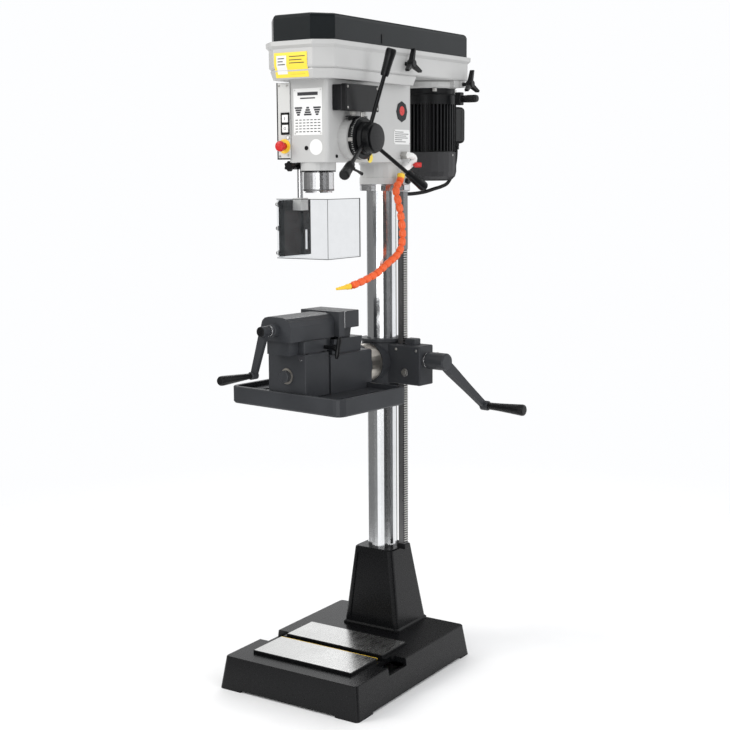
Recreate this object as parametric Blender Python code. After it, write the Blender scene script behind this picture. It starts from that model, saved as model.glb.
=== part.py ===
"""Floor-standing belt-driven column drill press with a tilting vise table.

The column's axis is the Z axis and the floor is Z = 0. The operator stands on the -Y side and
the feed levers are on the +X side. Sizes are written in millimetres and turned into metres when
a part is finished. The table group hangs on the column swung round by TABLE_SWING, so its parts
are drawn in a frame of their own, where +X runs along the table and -Y points at the operator.
"""
import math

import bmesh
import bpy
from mathutils import Matrix, Vector

MM = 0.001
GAP = 0.3                   # clearance between pieces that touch
ROUND = 28                  # facets on a large round piece
SMALL = 14                  # facets on a small round piece

# Column and base
COLUMN_R = 40.0
COLUMN_WALL = 7.0
COLUMN_TOP = 1490.0
BORE_R = COLUMN_R + 0.4
BASE_HALF = 213.7
BASE_FRONT, BASE_REAR = -453.0, 104.0
BASE_TOP = 85.0
BASE_DRAFT = 11.5
PAD_TOP = 93.0
PAD_HALF = 152.0
FOOT_TOP = 305.0

# Head: the spindle line, the feed shaft and the casting round them
SPINDLE_Y = -286.0
FEED_Y, FEED_Z = -238.0, 1395.0
HEAD_HALF = 58.0
HEAD_FRONT, HEAD_REAR = -331.0, 61.0
HEAD_BOTTOM, HEAD_TOP = 1338.0, 1557.0
SHOULDER = 1534.0
NECK_R = 57.0
NECK_BOTTOM = 1282.0
QUILL_NOSE_R, QUILL_R = 37.7, 34.0
QUILL_BOTTOM, QUILL_STEP, QUILL_TOP = 1268.0, 1314.0, 1495.0
FEED_MODULE, FEED_TEETH = 2.5, 14

# Belt drive
BOX_HALF, BOX_CHAMFER_Y, BOX_NOSE, BOX_FRONT, BOX_REAR = 96.0, -353.0, 57.0, -387.0, 304.0
BOX_FLOOR, BOX_RIM = 1557.3, 1621.7
COVER_HALF, COVER_CHAMFER_Y, COVER_NOSE, COVER_FRONT, COVER_REAR = 92.9, -343.5, 53.2, -389.8, 306.2
COVER_BOTTOM, COVER_TOP = 1622.0, 1684.0
IDLER_Y = -22.0
MOTOR_Y, MOTOR_R = 240.0, 80.0
MOTOR_BOTTOM, FAN_COVER_TOP, FINS_TOP, MOTOR_TOP = 1289.0, 1366.0, 1494.0, 1537.0
BELT_LEVELS = (1584.0, 1608.0, 1632.0)
SPINDLE_STEPS = (62.0, 50.0, 38.0)
IDLER_STEPS = (38.0, 50.0, 62.0)
MOTOR_STEPS = (50.0, 38.0, 26.0)

# Chuck guard
ROD_X, ROD_Y, ROD_R = -75.0, -260.0, 7.0
GUARD_LEFT, GUARD_RIGHT, GUARD_FRONT, GUARD_BACK = -93.0, 60.0, -335.0, -193.0
GUARD_BOTTOM, GUARD_TOP = 1104.0, 1249.0

# Table group, in its own frame
TABLE_SWING = math.radians(-6.7)
TILT_Z = 815.0
TABLE_HALF, TABLE_FRONT, TABLE_BACK = 186.0, -388.0, -125.0
TABLE_BOTTOM, TABLE_FACE, TABLE_RIM = 732.0, 763.0, 775.5
RACK_IN, RACK_OUT, RACK_HALF = 63.0, 82.0, 9.0
RACK_MODULE, LIFT_TEETH = 2.5, 17
LIFT_GEAR_X = RACK_OUT - RACK_MODULE + RACK_MODULE * LIFT_TEETH / 2
LIFT_GEAR_Z, CRANK_Z = 792.0, 826.0
SCREW_Z = 934.0


# ---------------------------------------------------------------- drawing helpers
def start_scene():
    for old in list(bpy.data.objects):
        bpy.data.objects.remove(old, do_unlink=True)


def material(name, colour, roughness, metallic):
    """A Principled material with one colour."""
    made = bpy.data.materials.new(name)
    made.use_nodes = True
    made.diffuse_color = (*colour, 1.0)
    shader = made.node_tree.nodes["Principled BSDF"]
    shader.inputs["Base Color"].default_value = (*colour, 1.0)
    shader.inputs["Roughness"].default_value = roughness
    shader.inputs["Metallic"].default_value = metallic
    return made


def loft(loops):
    """Closed skin through loops of equally many points, capped at both ends."""
    mesh = bmesh.new()
    rings = [[mesh.verts.new(point) for point in loop] for loop in loops]
    count = len(rings[0])
    for low, high in zip(rings, rings[1:]):
        for i in range(count):
            j = (i + 1) % count
            mesh.faces.new((low[i], low[j], high[j], high[i]))
    mesh.faces.new(list(reversed(rings[0])))
    mesh.faces.new(rings[-1])
    bmesh.ops.recalc_face_normals(mesh, faces=mesh.faces)
    return mesh


def at_height(outline, z):
    return [(x, y, z) for x, y in outline]


def prism(outline, z0, z1):
    return loft([at_height(outline, z0), at_height(outline, z1)])


def box(x0, x1, y0, y1, z0, z1):
    return prism([(x0, y0), (x1, y0), (x1, y1), (x0, y1)], z0, z1)


def soft_box(x0, x1, y0, y1, z0, z1, size=2.0, steps=2):
    """A box with every edge rounded."""
    mesh = box(x0, x1, y0, y1, z0, z1)
    bmesh.ops.bevel(mesh, geom=mesh.edges[:], offset=size, segments=steps, affect='EDGES', profile=0.5)
    return mesh


def rounded(x0, x1, y0, y1, radius, steps=4):
    """Rectangle outline with round corners."""
    points = []
    corners = ((x1 - radius, y0 + radius, -90), (x1 - radius, y1 - radius, 0),
               (x0 + radius, y1 - radius, 90), (x0 + radius, y0 + radius, 180))
    for cx, cy, start in corners:
        for i in range(steps + 1):
            angle = math.radians(start + 90 * i / steps)
            points.append((cx + radius * math.cos(angle), cy + radius * math.sin(angle)))
    return points


def ring_points(radius, count, turn=0.0):
    return [(radius * math.cos(turn + 2 * math.pi * i / count),
             radius * math.sin(turn + 2 * math.pi * i / count)) for i in range(count)]


AXES = {"x": Matrix(((0, 0, 1), (1, 0, 0), (0, 1, 0))).to_4x4(),
        "y": Matrix(((0, 1, 0), (0, 0, 1), (1, 0, 0))).to_4x4(),
        "z": Matrix.Identity(4)}


def placed(mesh, axis="z", centre=(0, 0, 0)):
    """Turn a shape drawn along Z to another axis, and move it."""
    bmesh.ops.transform(mesh, matrix=Matrix.Translation(centre) @ AXES[axis], verts=mesh.verts)
    return mesh


def lathe(profile, axis="z", centre=(0, 0, 0), facets=ROUND):
    """Turned solid: profile is (radius, along) from one end of the axis to the other."""
    mesh = bmesh.new()
    rings = []
    for radius, along in profile:
        if radius < 1e-6:
            rings.append([mesh.verts.new((0, 0, along))])
        else:
            rings.append([mesh.verts.new((x, y, along)) for x, y in ring_points(radius, facets)])
    for low, high in zip(rings, rings[1:]):
        skin(mesh, low, high)
    if len(rings[0]) > 1:
        skin(mesh, rings[-1], rings[0])
    bmesh.ops.recalc_face_normals(mesh, faces=mesh.faces)
    return placed(mesh, axis, centre)


def skin(mesh, low, high):
    """Faces between two rings, either of which may be a single point."""
    count = max(len(low), len(high))
    if count == 1:
        return
    for i in range(count):
        j = (i + 1) % count
        corners = [low[i % len(low)], low[j % len(low)], high[j % len(high)], high[i % len(high)]]
        kept = [v for k, v in enumerate(corners) if v not in corners[:k]]
        mesh.faces.new(kept)


def rod(radius, start, end, axis="z", centre=(0, 0, 0), facets=SMALL, bevel=0.0):
    """Plain round bar between two places on its axis."""
    if bevel:
        profile = [(0, start), (radius - bevel, start), (radius, start + bevel),
                   (radius, end - bevel), (radius - bevel, end), (0, end)]
    else:
        profile = [(0, start), (radius, start), (radius, end), (0, end)]
    return lathe(profile, axis, centre, facets)


def tube(outer, inner, start, end, axis="z", centre=(0, 0, 0), facets=ROUND):
    profile = [(inner, start), (outer, start), (outer, end), (inner, end)]
    return lathe(profile, axis, centre, facets)


def bar(a, b, radius_a, radius_b, facets=12):
    """Round bar from point a to point b, tapering."""
    a, b = Vector(a), Vector(b)
    along = (b - a).normalized()
    turn = along.to_track_quat('Z', 'Y').to_matrix()
    loops = [[tuple(end + turn @ Vector((x, y, 0))) for x, y in ring_points(radius, facets)]
             for end, radius in ((a, radius_a), (b, radius_b))]
    return loft(loops)


def sweep(points, radius, facets=12, per_span=4):
    """Round bar along a smooth curve through the points; radius may be one value per point."""
    points = [Vector(p) for p in points]
    radii = radius if isinstance(radius, (list, tuple)) else [radius] * len(points)
    path, sizes = [], []
    for i in range(len(points) - 1):
        before, after = points[max(i - 1, 0)], points[min(i + 2, len(points) - 1)]
        for k in range(per_span):
            t = k / per_span
            path.append(catmull(before, points[i], points[i + 1], after, t))
            sizes.append(radii[i] * (1 - t) + radii[i + 1] * t)
    path.append(points[-1])
    sizes.append(radii[-1])
    side = Vector((1, 0, 0))
    loops = []
    for i, point in enumerate(path):
        along = (path[min(i + 1, len(path) - 1)] - path[max(i - 1, 0)]).normalized()
        side = (side - along * side.dot(along)).normalized()
        other = along.cross(side)
        loops.append([tuple(point + side * x + other * y) for x, y in ring_points(sizes[i], facets)])
    return loft(loops)


def catmull(before, a, b, after, t):
    return 0.5 * (2 * a + (b - before) * t + (2 * before - 5 * a + 4 * b - after) * t * t
                  + (3 * a - before - 3 * b + after) * t ** 3)


def temporary(mesh):
    data = bpy.data.meshes.new("temporary")
    mesh.to_mesh(data)
    mesh.free()
    made = bpy.data.objects.new("temporary", data)
    bpy.context.scene.collection.objects.link(made)
    return made


def merged(solids, cuts=()):
    """One solid: the first shapes joined, then the cuts taken out."""
    base = temporary(solids[0])
    tools = []
    for operation, shapes in (('UNION', solids[1:]), ('DIFFERENCE', cuts)):
        for shape in shapes:
            tool = temporary(shape)
            change = base.modifiers.new("change", 'BOOLEAN')
            change.operation = operation
            change.solver = 'EXACT'
            change.use_self = True
            change.object = tool
            tools.append(tool)
    bpy.context.view_layer.update()
    result = bmesh.new()
    result.from_object(base, bpy.context.evaluated_depsgraph_get())
    for used in [base] + tools:
        data = used.data
        bpy.data.objects.remove(used, do_unlink=True)
        bpy.data.meshes.remove(data)
    bmesh.ops.remove_doubles(result, verts=result.verts, dist=0.002)
    bmesh.ops.dissolve_degenerate(result, edges=result.edges, dist=0.002)
    return result


def frame(name, turn=0.0):
    made = bpy.data.objects.new(name, None)
    made.rotation_euler = (0, 0, turn)
    bpy.context.scene.collection.objects.link(made)
    return made


def finish(name, mesh, finish_material, pivot=(0, 0, 0), parent=None):
    """Turn a shape in millimetres into a named object whose origin is its pivot."""
    pivot = Vector(pivot)
    change = Matrix.Scale(MM, 4) @ Matrix.Translation(-pivot)
    bmesh.ops.transform(mesh, matrix=change, verts=mesh.verts)
    bmesh.ops.recalc_face_normals(mesh, faces=mesh.faces)
    data = bpy.data.meshes.new(name)
    mesh.to_mesh(data)
    mesh.free()
    data.materials.append(finish_material)
    made = bpy.data.objects.new(name, data)
    made.location = pivot * MM
    made.parent = parent
    bpy.context.scene.collection.objects.link(made)
    return made


# ---------------------------------------------------------------- base and column
def base_casting(paint):
    half, top_half = BASE_HALF, BASE_HALF - BASE_DRAFT
    front, rear = BASE_FRONT, BASE_REAR
    low = rounded(-half, half, front, rear, 10)
    high = rounded(-top_half, top_half, front + BASE_DRAFT, rear - BASE_DRAFT, 10)
    body = loft([at_height(low, 0), at_height(high, BASE_TOP - 2),
                 at_height(rounded(-top_half + 2, top_half - 2, front + BASE_DRAFT + 2,
                                   rear - BASE_DRAFT - 2, 9), BASE_TOP)])
    pads = [soft_box(-PAD_HALF, PAD_HALF, y0, y1, BASE_TOP - 6, PAD_TOP, 1.5, 1)
            for y0, y1 in ((-389, -268), (-244, -128))]
    wall, skin_z, foot = 14.0, BASE_TOP - 15, 68.0
    cuts = [box(x0, x1, y0, y1, -5, skin_z) for x0, x1, y0, y1 in (
        (-half + wall + 4, -8, front + wall + 4, -76), (8, half - wall - 4, front + wall + 4, -76),
        (-half + wall + 4, -76, -60, rear - wall - 4), (76, half - wall - 4, -60, rear - wall - 4))]
    cuts += [box(-half + foot, half - foot, y, y + 30, -5, 5) for y in (front - 10, rear - 20)]
    cuts += [box(x, x + 30, front + foot, rear - foot + 20, -5, 5) for x in (-half - 10, half - 20)]
    cuts += [prism(rounded(x, x + 60, -296, -212, 8), 66, 120) for x in (-half - 8, half - 52)]
    cuts.append(box(-PAD_HALF - 12, PAD_HALF + 12, -268, -244, 77, 120))
    finish("base_casting", merged([body] + pads, cuts), paint)


def column_foot(paint):
    def section(z, grow=0.0):
        t = (z - BASE_TOP) / (FOOT_TOP - BASE_TOP)
        x = 86 - 27 * t + grow
        return at_height(rounded(-x, x, -66 + 12 * t - grow, 88 - 34 * t + grow, 12), z)

    bottom = BASE_TOP + GAP
    body = loft([section(bottom, 4), section(bottom + 5, 4), section(bottom + 9, 0.5),
                 section(FOOT_TOP - 3, 0), section(FOOT_TOP, -3)])
    panel = [(-66, 108), (66, 108), (47, 288), (-47, 288)]
    face = [(-66 + 12 * (z - BASE_TOP) / (FOOT_TOP - BASE_TOP)) for _, z in panel]
    recess = loft([[(x, y + depth, z) for (x, z), y in zip(panel, face)] for depth in (-6, 2.5)])
    bore = rod(BORE_R, bottom - 5, FOOT_TOP + 5, facets=ROUND)
    finish("column_foot", merged([body], [bore, recess]), paint)


def column_tube(steel):
    finish("column_tube", tube(COLUMN_R, COLUMN_R - COLUMN_WALL, BASE_TOP + GAP, COLUMN_TOP), steel)


# ---------------------------------------------------------------- head
def nose_outline(half, chamfer_y, nose, front, rear, grow=0.0, corner=12.0):
    """Outline of the belt box and its cover: a chamfered nose and round rear corners."""
    half, nose, chamfer_y = half + grow, nose + grow * 0.5, chamfer_y - grow * 0.6
    front, rear = front - grow, rear + grow
    points = [(-nose, front), (nose, front), (half, chamfer_y)]
    for cx, start in ((half - corner, 0), (-half + corner, 90)):
        for i in range(4):
            angle = math.radians(start + 30 * i)
            points.append((cx + corner * math.cos(angle), rear - corner + corner * math.sin(angle)))
    points.append((-half, chamfer_y))
    return points


def head_casting(paint):
    body = prism(rounded(-HEAD_HALF, HEAD_HALF, HEAD_FRONT, HEAD_REAR, 11), HEAD_BOTTOM, SHOULDER + 6)
    shoulder = loft([at_height(nose_outline(BOX_HALF, BOX_CHAMFER_Y, BOX_NOSE, BOX_FRONT, 33, grow, 6), z)
                     for z, grow in ((SHOULDER, -9), (HEAD_TOP - 3, -3), (HEAD_TOP, -4))])
    neck = lathe([(0, NECK_BOTTOM), (NECK_R, NECK_BOTTOM), (NECK_R, NECK_BOTTOM + 17), (NECK_R - 1.5, NECK_BOTTOM + 18),
                  (NECK_R - 1.5, HEAD_BOTTOM - 6), (NECK_R + 4, HEAD_BOTTOM), (NECK_R + 4, HEAD_BOTTOM + 8),
                  (0, HEAD_BOTTOM + 8)])
    nose = rod(43.3, 1318, HEAD_BOTTOM + 8, "z", (0, SPINDLE_Y, 0), ROUND)
    boss = lathe([(0, 40), (49, 40), (49, 84), (46, 87), (0, 87)], "x", (0, FEED_Y, FEED_Z))
    lug = soft_box(-35, 35, 40, 92, NECK_BOTTOM + 1, 1345, 2, 1)
    lug_low = soft_box(-35, 35, 59, 92, 1262, NECK_BOTTOM + 8, 2, 1)
    cuts = [rod(BORE_R, 1200, COLUMN_TOP + 4, facets=ROUND),
            lathe([(0, 1300), (QUILL_R + 0.4, 1300), (QUILL_R + 0.4, QUILL_TOP + 3), (27, QUILL_TOP + 3),
                   (27, 1600), (0, 1600)], "z", (0, SPINDLE_Y, 0)),
            rod(21.5, -80, 100, "x", (0, FEED_Y, FEED_Z), ROUND),
            box(-60, -52.5, -340, -321, 1408, 1455),
            box(-1.5, 1.5, 30, 120, 1250, HEAD_BOTTOM - 4)]
    finish("head_casting", merged([body, shoulder, neck, nose, boss, lug, lug_low], cuts), paint)


def belt_box(paint):
    shape = (BOX_HALF, BOX_CHAMFER_Y, BOX_NOSE, BOX_FRONT, BOX_REAR)
    outside = loft([at_height(nose_outline(*shape, grow), z) for z, grow in (
        (BOX_FLOOR, -5), (1560.5, -1), (1564, 0), (1604, 0), (1611, 6), (BOX_RIM - 1, 6), (BOX_RIM, 5))])
    inside = prism(nose_outline(*shape, -5, 8), BOX_FLOOR + 5, 1700)
    post = rod(11.5, BOX_FLOOR + 1, 1652, "z", (0, IDLER_Y, 0))
    cuts = [rod(29, 1500, 1600, "z", (0, SPINDLE_Y, 0), ROUND),
            prism(rounded(-18, 18, MOTOR_Y - 34, MOTOR_Y + 22, 17), 1500, 1600),
            rod(5.4, 80, 110, "x", (0, -31, 1585))]
    hollow = merged([outside], [inside] + cuts)
    finish("belt_box", merged([hollow, post]), paint)


def belt_cover(paint):
    shape = (COVER_HALF, COVER_CHAMFER_Y, COVER_NOSE, COVER_FRONT, COVER_REAR)
    outside = loft([at_height(nose_outline(*shape, grow, corner), z) for z, grow, corner in (
        (COVER_BOTTOM, 0, 14), (COVER_TOP - 10, 0, 14), (COVER_TOP - 4, -2, 14), (COVER_TOP - 1, -5.5, 14),
        (COVER_TOP, -10, 14))])
    inside = loft([at_height(nose_outline(*shape, grow, 10), z) for z, grow in (
        (COVER_BOTTOM - 5, -4), (COVER_TOP - 9, -4), (COVER_TOP - 4, -9))])
    finish("belt_cover", merged([outside], [inside]), paint, (-COVER_HALF, 0, COVER_BOTTOM))


def junction_box(plastic):
    x0 = HEAD_HALF + GAP
    body = soft_box(x0, 88, -309, -167, 1461, 1522, 1.5, 1)
    lid = soft_box(86, 100, -310.5, -165.5, 1459.5, 1523.5, 2, 2)
    finish("junction_box", merged([body, lid]), plastic)


def control_panel(plastic):
    plate = soft_box(-87, -49, -334.5, HEAD_FRONT - GAP, 1346, 1529, 1, 1)
    body = soft_box(-86, -HEAD_HALF - GAP, HEAD_FRONT - 1, -281, 1347, 1528, 3, 2)
    cuts = [box(-72, -53.6, -340, -321, z - 9.4, z + 9.4) for z in (1443.5, 1419.5)]
    cuts.append(rod(8.2, -345, -312, "y", (-66, 0, 1377)))
    finish("control_panel", merged([plate, body], cuts), plastic)


def push_buttons(plastic, red):
    for name, z in (("start_button", 1443.5), ("stop_button", 1419.5)):
        finish(name, soft_box(-71.6, -54, -337, -325, z - 9, z + 9, 1.2, 2), plastic, (-62.8, -337, z))
    cap = lathe([(0, -360), (7, -359.6), (11.5, -358), (13, -355), (13, -351), (11, -348.5), (7.5, -347.5),
                 (7.5, -322), (0, -322)], "y", (-66, 0, 1377), 28)
    finish("emergency_stop", cap, red, (-66, -348, 1377))


# ---------------------------------------------------------------- spindle and feed
def gear_teeth(pitch_r, module, count, z0, z1, thickness):
    """Comb of straight teeth round an axis, as one closed prism with a round body."""
    outline = []
    root, tip = pitch_r - 1.2 * module, pitch_r + 0.9 * module
    for i in range(count):
        middle = 2 * math.pi * i / count
        for radius, share in ((root, -1.25), (tip, -0.6), (tip, 0.6), (root, 1.25)):
            angle = middle + share * thickness / 2 / pitch_r
            outline.append((radius * math.cos(angle), radius * math.sin(angle)))
    return prism(outline, z0, z1)


def comb(start, count, pitch, face, root, gap, half_width):
    """Cutter for the gaps of a rack whose teeth point along +X: one closed comb per gap."""
    cutters = []
    for i in range(count):
        z = start + i * pitch
        side = [(root, z - gap * 0.32), (face, z - gap * 0.68), (face, z + gap * 0.68), (root, z + gap * 0.32)]
        cutters.append(loft([[(x, y, zz) for x, zz in side] for y in (-half_width, half_width)]))
    return cutters


def quill(steel):
    body = lathe([(18, QUILL_BOTTOM + 34), (27, QUILL_BOTTOM + 34), (27, QUILL_BOTTOM), (QUILL_NOSE_R - 1, QUILL_BOTTOM),
                  (QUILL_NOSE_R, QUILL_BOTTOM + 1), (QUILL_NOSE_R, QUILL_STEP - 1), (QUILL_NOSE_R - 1, QUILL_STEP),
                  (QUILL_R, QUILL_STEP), (QUILL_R, QUILL_TOP), (18, QUILL_TOP)], "z", (0, SPINDLE_Y, 0))
    pitch_line = FEED_Y - FEED_MODULE * FEED_TEETH / 2
    tip, root = pitch_line + 0.9 * FEED_MODULE, pitch_line - 1.25 * FEED_MODULE
    pitch = math.pi * FEED_MODULE
    flat = box(-40, 40, tip, tip + 30, QUILL_STEP + 20, QUILL_TOP + 5)
    gaps = []
    for cutter in comb(FEED_Z - 2 * pitch, 17, pitch, 10, root - tip, pitch * 0.68, 11):
        turn = Matrix.Translation((0, tip, 0)) @ Matrix.Rotation(math.radians(90), 4, 'Z')
        bmesh.ops.transform(cutter, matrix=turn, verts=cutter.verts)
        gaps.append(cutter)
    finish("quill", merged([body], [flat] + gaps), steel, (0, SPINDLE_Y, QUILL_BOTTOM))


def spindle(steel):
    body = lathe([(0, 1345), (9.5, 1340), (12, 1264), (33, 1264), (33, 1267.5), (26.4, 1267.5), (26.4, 1300),
                  (17, 1301), (17, 1497), (11.6, 1498), (11.6, 1650), (10, 1652), (0, 1652)], "z", (0, SPINDLE_Y, 0))
    notches = []
    for i in range(6):
        notch = box(-2.5, 2.5, 28, 40, 1260, 1266)
        turn = Matrix.Translation((0, SPINDLE_Y, 0)) @ Matrix.Rotation(math.radians(60 * i + 15), 4, 'Z')
        bmesh.ops.transform(notch, matrix=turn, verts=notch.verts)
        notches.append(notch)
    finish("spindle", merged([body], notches), steel, (0, SPINDLE_Y, 1264))


def pulley_profile(steps, bore, bottom, top, hub):
    """Half section of a stepped V-belt pulley, from the bore's lower end round to its upper end."""
    profile = [(bore, bottom), (hub, bottom), (hub, BELT_LEVELS[0] - 13)]
    for radius, level in zip(steps, BELT_LEVELS):
        profile += [(radius + 5, level - 11), (radius + 5, level - 8.5), (radius - 6, level - 5),
                    (radius - 6, level + 5), (radius + 5, level + 8.5), (radius + 5, level + 11)]
    profile += [(bore + 6, BELT_LEVELS[-1] + 12), (bore + 6, top), (bore, top)]
    return profile


def pulleys(metal):
    drive = lathe(pulley_profile(SPINDLE_STEPS, 12.0, 1501, 1650, 24), "z", (0, SPINDLE_Y, 0), 18)
    finish("spindle_pulley", drive, metal, (0, SPINDLE_Y, 1501))
    idler = lathe(pulley_profile(IDLER_STEPS, 12.0, 1567, 1650, 20), "z", (0, IDLER_Y, 0), 18)
    finish("idler_pulley", idler, metal, (0, IDLER_Y, 1567))
    motor = lathe(pulley_profile(MOTOR_STEPS, 11.3, 1567, 1650, 16), "z", (0, MOTOR_Y, 0), 18)
    finish("motor_pulley", motor, metal, (0, MOTOR_Y, 1567))


def belt(name, level, ya, ra, yb, rb, rubber):
    """V belt round two pulleys on the Y axis, drawn as a trapezoid swept round the loop."""
    reach = yb - ya
    lean = math.asin((ra - rb) / reach)
    path = []
    arcs = ((ya, ra, math.pi - lean, 2 * math.pi + lean), (yb, rb, lean, math.pi - lean))
    for cy, radius, first, last in arcs:
        for i in range(17):
            angle = first + (last - first) * i / 16
            path.append((Vector((math.cos(angle), math.sin(angle))), cy, radius))
    mesh = bmesh.new()
    section = ((-5.2, -3.9), (4.6, -6.6), (4.6, 6.6), (-5.2, 3.9))
    rings = [[mesh.verts.new((d.x * (r + out), cy + d.y * (r + out), level + up)) for out, up in section]
             for d, cy, r in path]
    for ring, following in zip(rings, rings[1:] + rings[:1]):
        skin(mesh, ring, following)
    bmesh.ops.recalc_face_normals(mesh, faces=mesh.faces)
    finish(name, mesh, rubber)


def feed_group(steel, black, grey):
    pitch_r = FEED_MODULE * FEED_TEETH / 2
    teeth = placed(gear_teeth(pitch_r, FEED_MODULE, FEED_TEETH, -10, 10, math.pi * FEED_MODULE * 0.34),
                   "x", (0, FEED_Y, FEED_Z))
    shaft = lathe([(0, -57), (21, -57), (21, -32), (13.5, -31), (13.5, 31), (21, 32), (21, 86.5), (12, 87),
                   (12, 128), (0, 128)], "x", (0, FEED_Y, FEED_Z))
    finish("feed_shaft", merged([shaft, teeth]), steel, (0, FEED_Y, FEED_Z))
    ring = lathe([(20, 87.6), (49.5, 87.6), (51, 89), (51, 103), (48, 106), (20, 106)], "x", (0, FEED_Y, FEED_Z))
    finish("depth_ring", ring, black, (88, FEED_Y, FEED_Z))
    hub = lathe([(12.3, 106.4), (39, 106.4), (40, 108), (38, 117), (36, 118), (37, 121), (37, 133), (34.5, 136.5),
                 (28, 138.5), (0, 139), (0, 128.4), (12.3, 128.4)], "x", (0, FEED_Y, FEED_Z))
    sockets, base_r, base_x, end_r, end_x = [], 24.0, 118.0, 212.0, 172.0
    for i in range(3):
        angle = math.radians(5 + 120 * i)
        out = Vector((0, math.sin(angle), math.cos(angle)))
        start = Vector((base_x, FEED_Y, FEED_Z)) + out * base_r
        end = Vector((end_x, FEED_Y, FEED_Z)) + out * end_r
        along = (end - start).normalized()
        sockets.append(bar(start, start + along * 40, 5.8, 5.8))
        grip = start + along * 128
        lever = merged([bar(start + along, grip + along * 4, 5.3, 5.3), bar(grip, grip + along * 8, 8.5, 11),
                        bar(grip + along * 7.5, end - along * 3, 10.8, 13), bar(end - along * 3.5, end, 12.8, 10)])
        finish(f"feed_lever_{i + 1}", lever, black, (base_x, FEED_Y, FEED_Z))
    finish("feed_hub", merged([hub], sockets), black, (118, FEED_Y, FEED_Z))
    cap = lathe([(0, -86), (30, -85), (36, -81), (36, -HEAD_HALF - GAP), (0, -HEAD_HALF - GAP)], "x",
                (0, FEED_Y, FEED_Z))
    finish("return_spring_cap", cap, grey)


# ---------------------------------------------------------------- motor
def finned_loop(outer, inner, fins):
    points = []
    for i in range(fins):
        for share, radius in ((-0.28, outer), (0.28, outer), (0.34, inner), (0.66, inner)):
            angle = 2 * math.pi * (i + share) / fins
            points.append((radius * math.cos(angle), MOTOR_Y + radius * math.sin(angle)))
    return points


def motor(black, grey, steel):
    fins = 18
    finned, smooth = finned_loop(MOTOR_R, MOTOR_R - 9, fins), finned_loop(MOTOR_R, MOTOR_R, fins)
    small = finned_loop(MOTOR_R - 4, MOTOR_R - 4, fins)
    body = loft([at_height(finned, FAN_COVER_TOP + GAP), at_height(finned, FINS_TOP), at_height(smooth, FINS_TOP + 1),
                 at_height(smooth, MOTOR_TOP - 14), at_height(small, MOTOR_TOP - 12), at_height(small, MOTOR_TOP)])
    seat = box(-32, 32, MOTOR_Y + 60, MOTOR_Y + 81, 1400, 1488)
    bore = rod(13, 1300, 1600, "z", (0, MOTOR_Y, 0))
    finish("motor_body", merged([body, seat], [bore]), black, (0, MOTOR_Y, MOTOR_TOP))
    lid = soft_box(-40, 40, MOTOR_Y + 81 + GAP, MOTOR_Y + 150, 1392, 1494, 12, 3)
    finish("motor_terminal_box", lid, black, (0, MOTOR_Y, MOTOR_TOP))
    top = FAN_COVER_TOP
    cover = lathe([(12, MOTOR_BOTTOM), (58, MOTOR_BOTTOM), (70, MOTOR_BOTTOM + 3.5), (77.5, MOTOR_BOTTOM + 11),
                   (81, MOTOR_BOTTOM + 24), (81, top), (78, top), (78, MOTOR_BOTTOM + 25),
                   (74.5, MOTOR_BOTTOM + 13), (68, MOTOR_BOTTOM + 7), (58, MOTOR_BOTTOM + 3.5),
                   (12, MOTOR_BOTTOM + 3.5)], "z", (0, MOTOR_Y, 0))
    finish("motor_fan_cover", cover, black, (0, MOTOR_Y, MOTOR_TOP))
    plate = lathe([(22, MOTOR_TOP + GAP), (78, MOTOR_TOP + GAP), (82, MOTOR_TOP + 4), (82, BOX_FLOOR - 4),
                   (79, BOX_FLOOR - 0.6), (22, BOX_FLOOR - 0.6)], "z", (0, MOTOR_Y, 0))
    ear = box(50, 98, MOTOR_Y + 15, MOTOR_Y + 37, MOTOR_TOP + 3, BOX_FLOOR - 0.6)
    arm = box(70, 92, MOTOR_Y - 14, MOTOR_Y + 14, MOTOR_TOP + 2, BOX_FLOOR - 0.6)
    hole = rod(5.4, 85, 110, "x", (0, MOTOR_Y + 26, 1548.5))
    finish("motor_plate", merged([plate, ear, arm], [hole]), grey, (0, MOTOR_Y, MOTOR_TOP))
    shaft = lathe([(0, 1302), (60, 1302), (60, 1306), (20, 1308), (20, 1330), (11, 1332), (11, 1652), (0, 1652)],
                  "z", (0, MOTOR_Y, 0))
    finish("motor_rotor", shaft, steel, (0, MOTOR_Y, 1302))


CABLE_ROUTE = ((20, 368, 1391.5), (20, 366, 1352), (19, 352, 1312), (18, 325, 1282.5), (17.5, 290, 1272),
               (17, 250, 1266), (14, 200, 1258), (9, 145, 1254), (0, 114, 1254.5), (-24, 104, 1257),
               (-45, 88, 1264), (-56, 68, 1280), (-57, 54, 1300), (-51, 50, 1320), (-49, 49, 1329), (-49, 49, 1337.5))


def motor_cable(rubber):
    finish("motor_cable", sweep(CABLE_ROUTE, 5.0, 8, 1), rubber)


def star_knob(name, axis, centre, start, black):
    """Three-winged clamping knob: stud, hub and wings, drawn along its axis from start outwards."""
    stud = rod(5, start - 10, start + 12)
    hub = lathe([(0, start + 8), (10, start + 8), (11.5, start + 11), (11.5, start + 22), (9, start + 26), (0, start + 26)],
                facets=SMALL)
    wings = []
    for i in range(3):
        wing = loft([[(7, -5.5, start + 10), (7, 5.5, start + 10), (7, 5.5, start + 23), (7, -5.5, start + 23)],
                     [(37, -3, start + 17), (37, 3, start + 17), (37, 3, start + 28), (37, -3, start + 28)]])
        turn = Matrix.Rotation(math.radians(90 + 120 * i), 4, 'Z')
        bmesh.ops.transform(wing, matrix=turn, verts=wing.verts)
        wings.append(wing)
    knob = placed(merged([hub, stud] + wings), axis, centre)
    finish(name, knob, black, centre)


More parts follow.
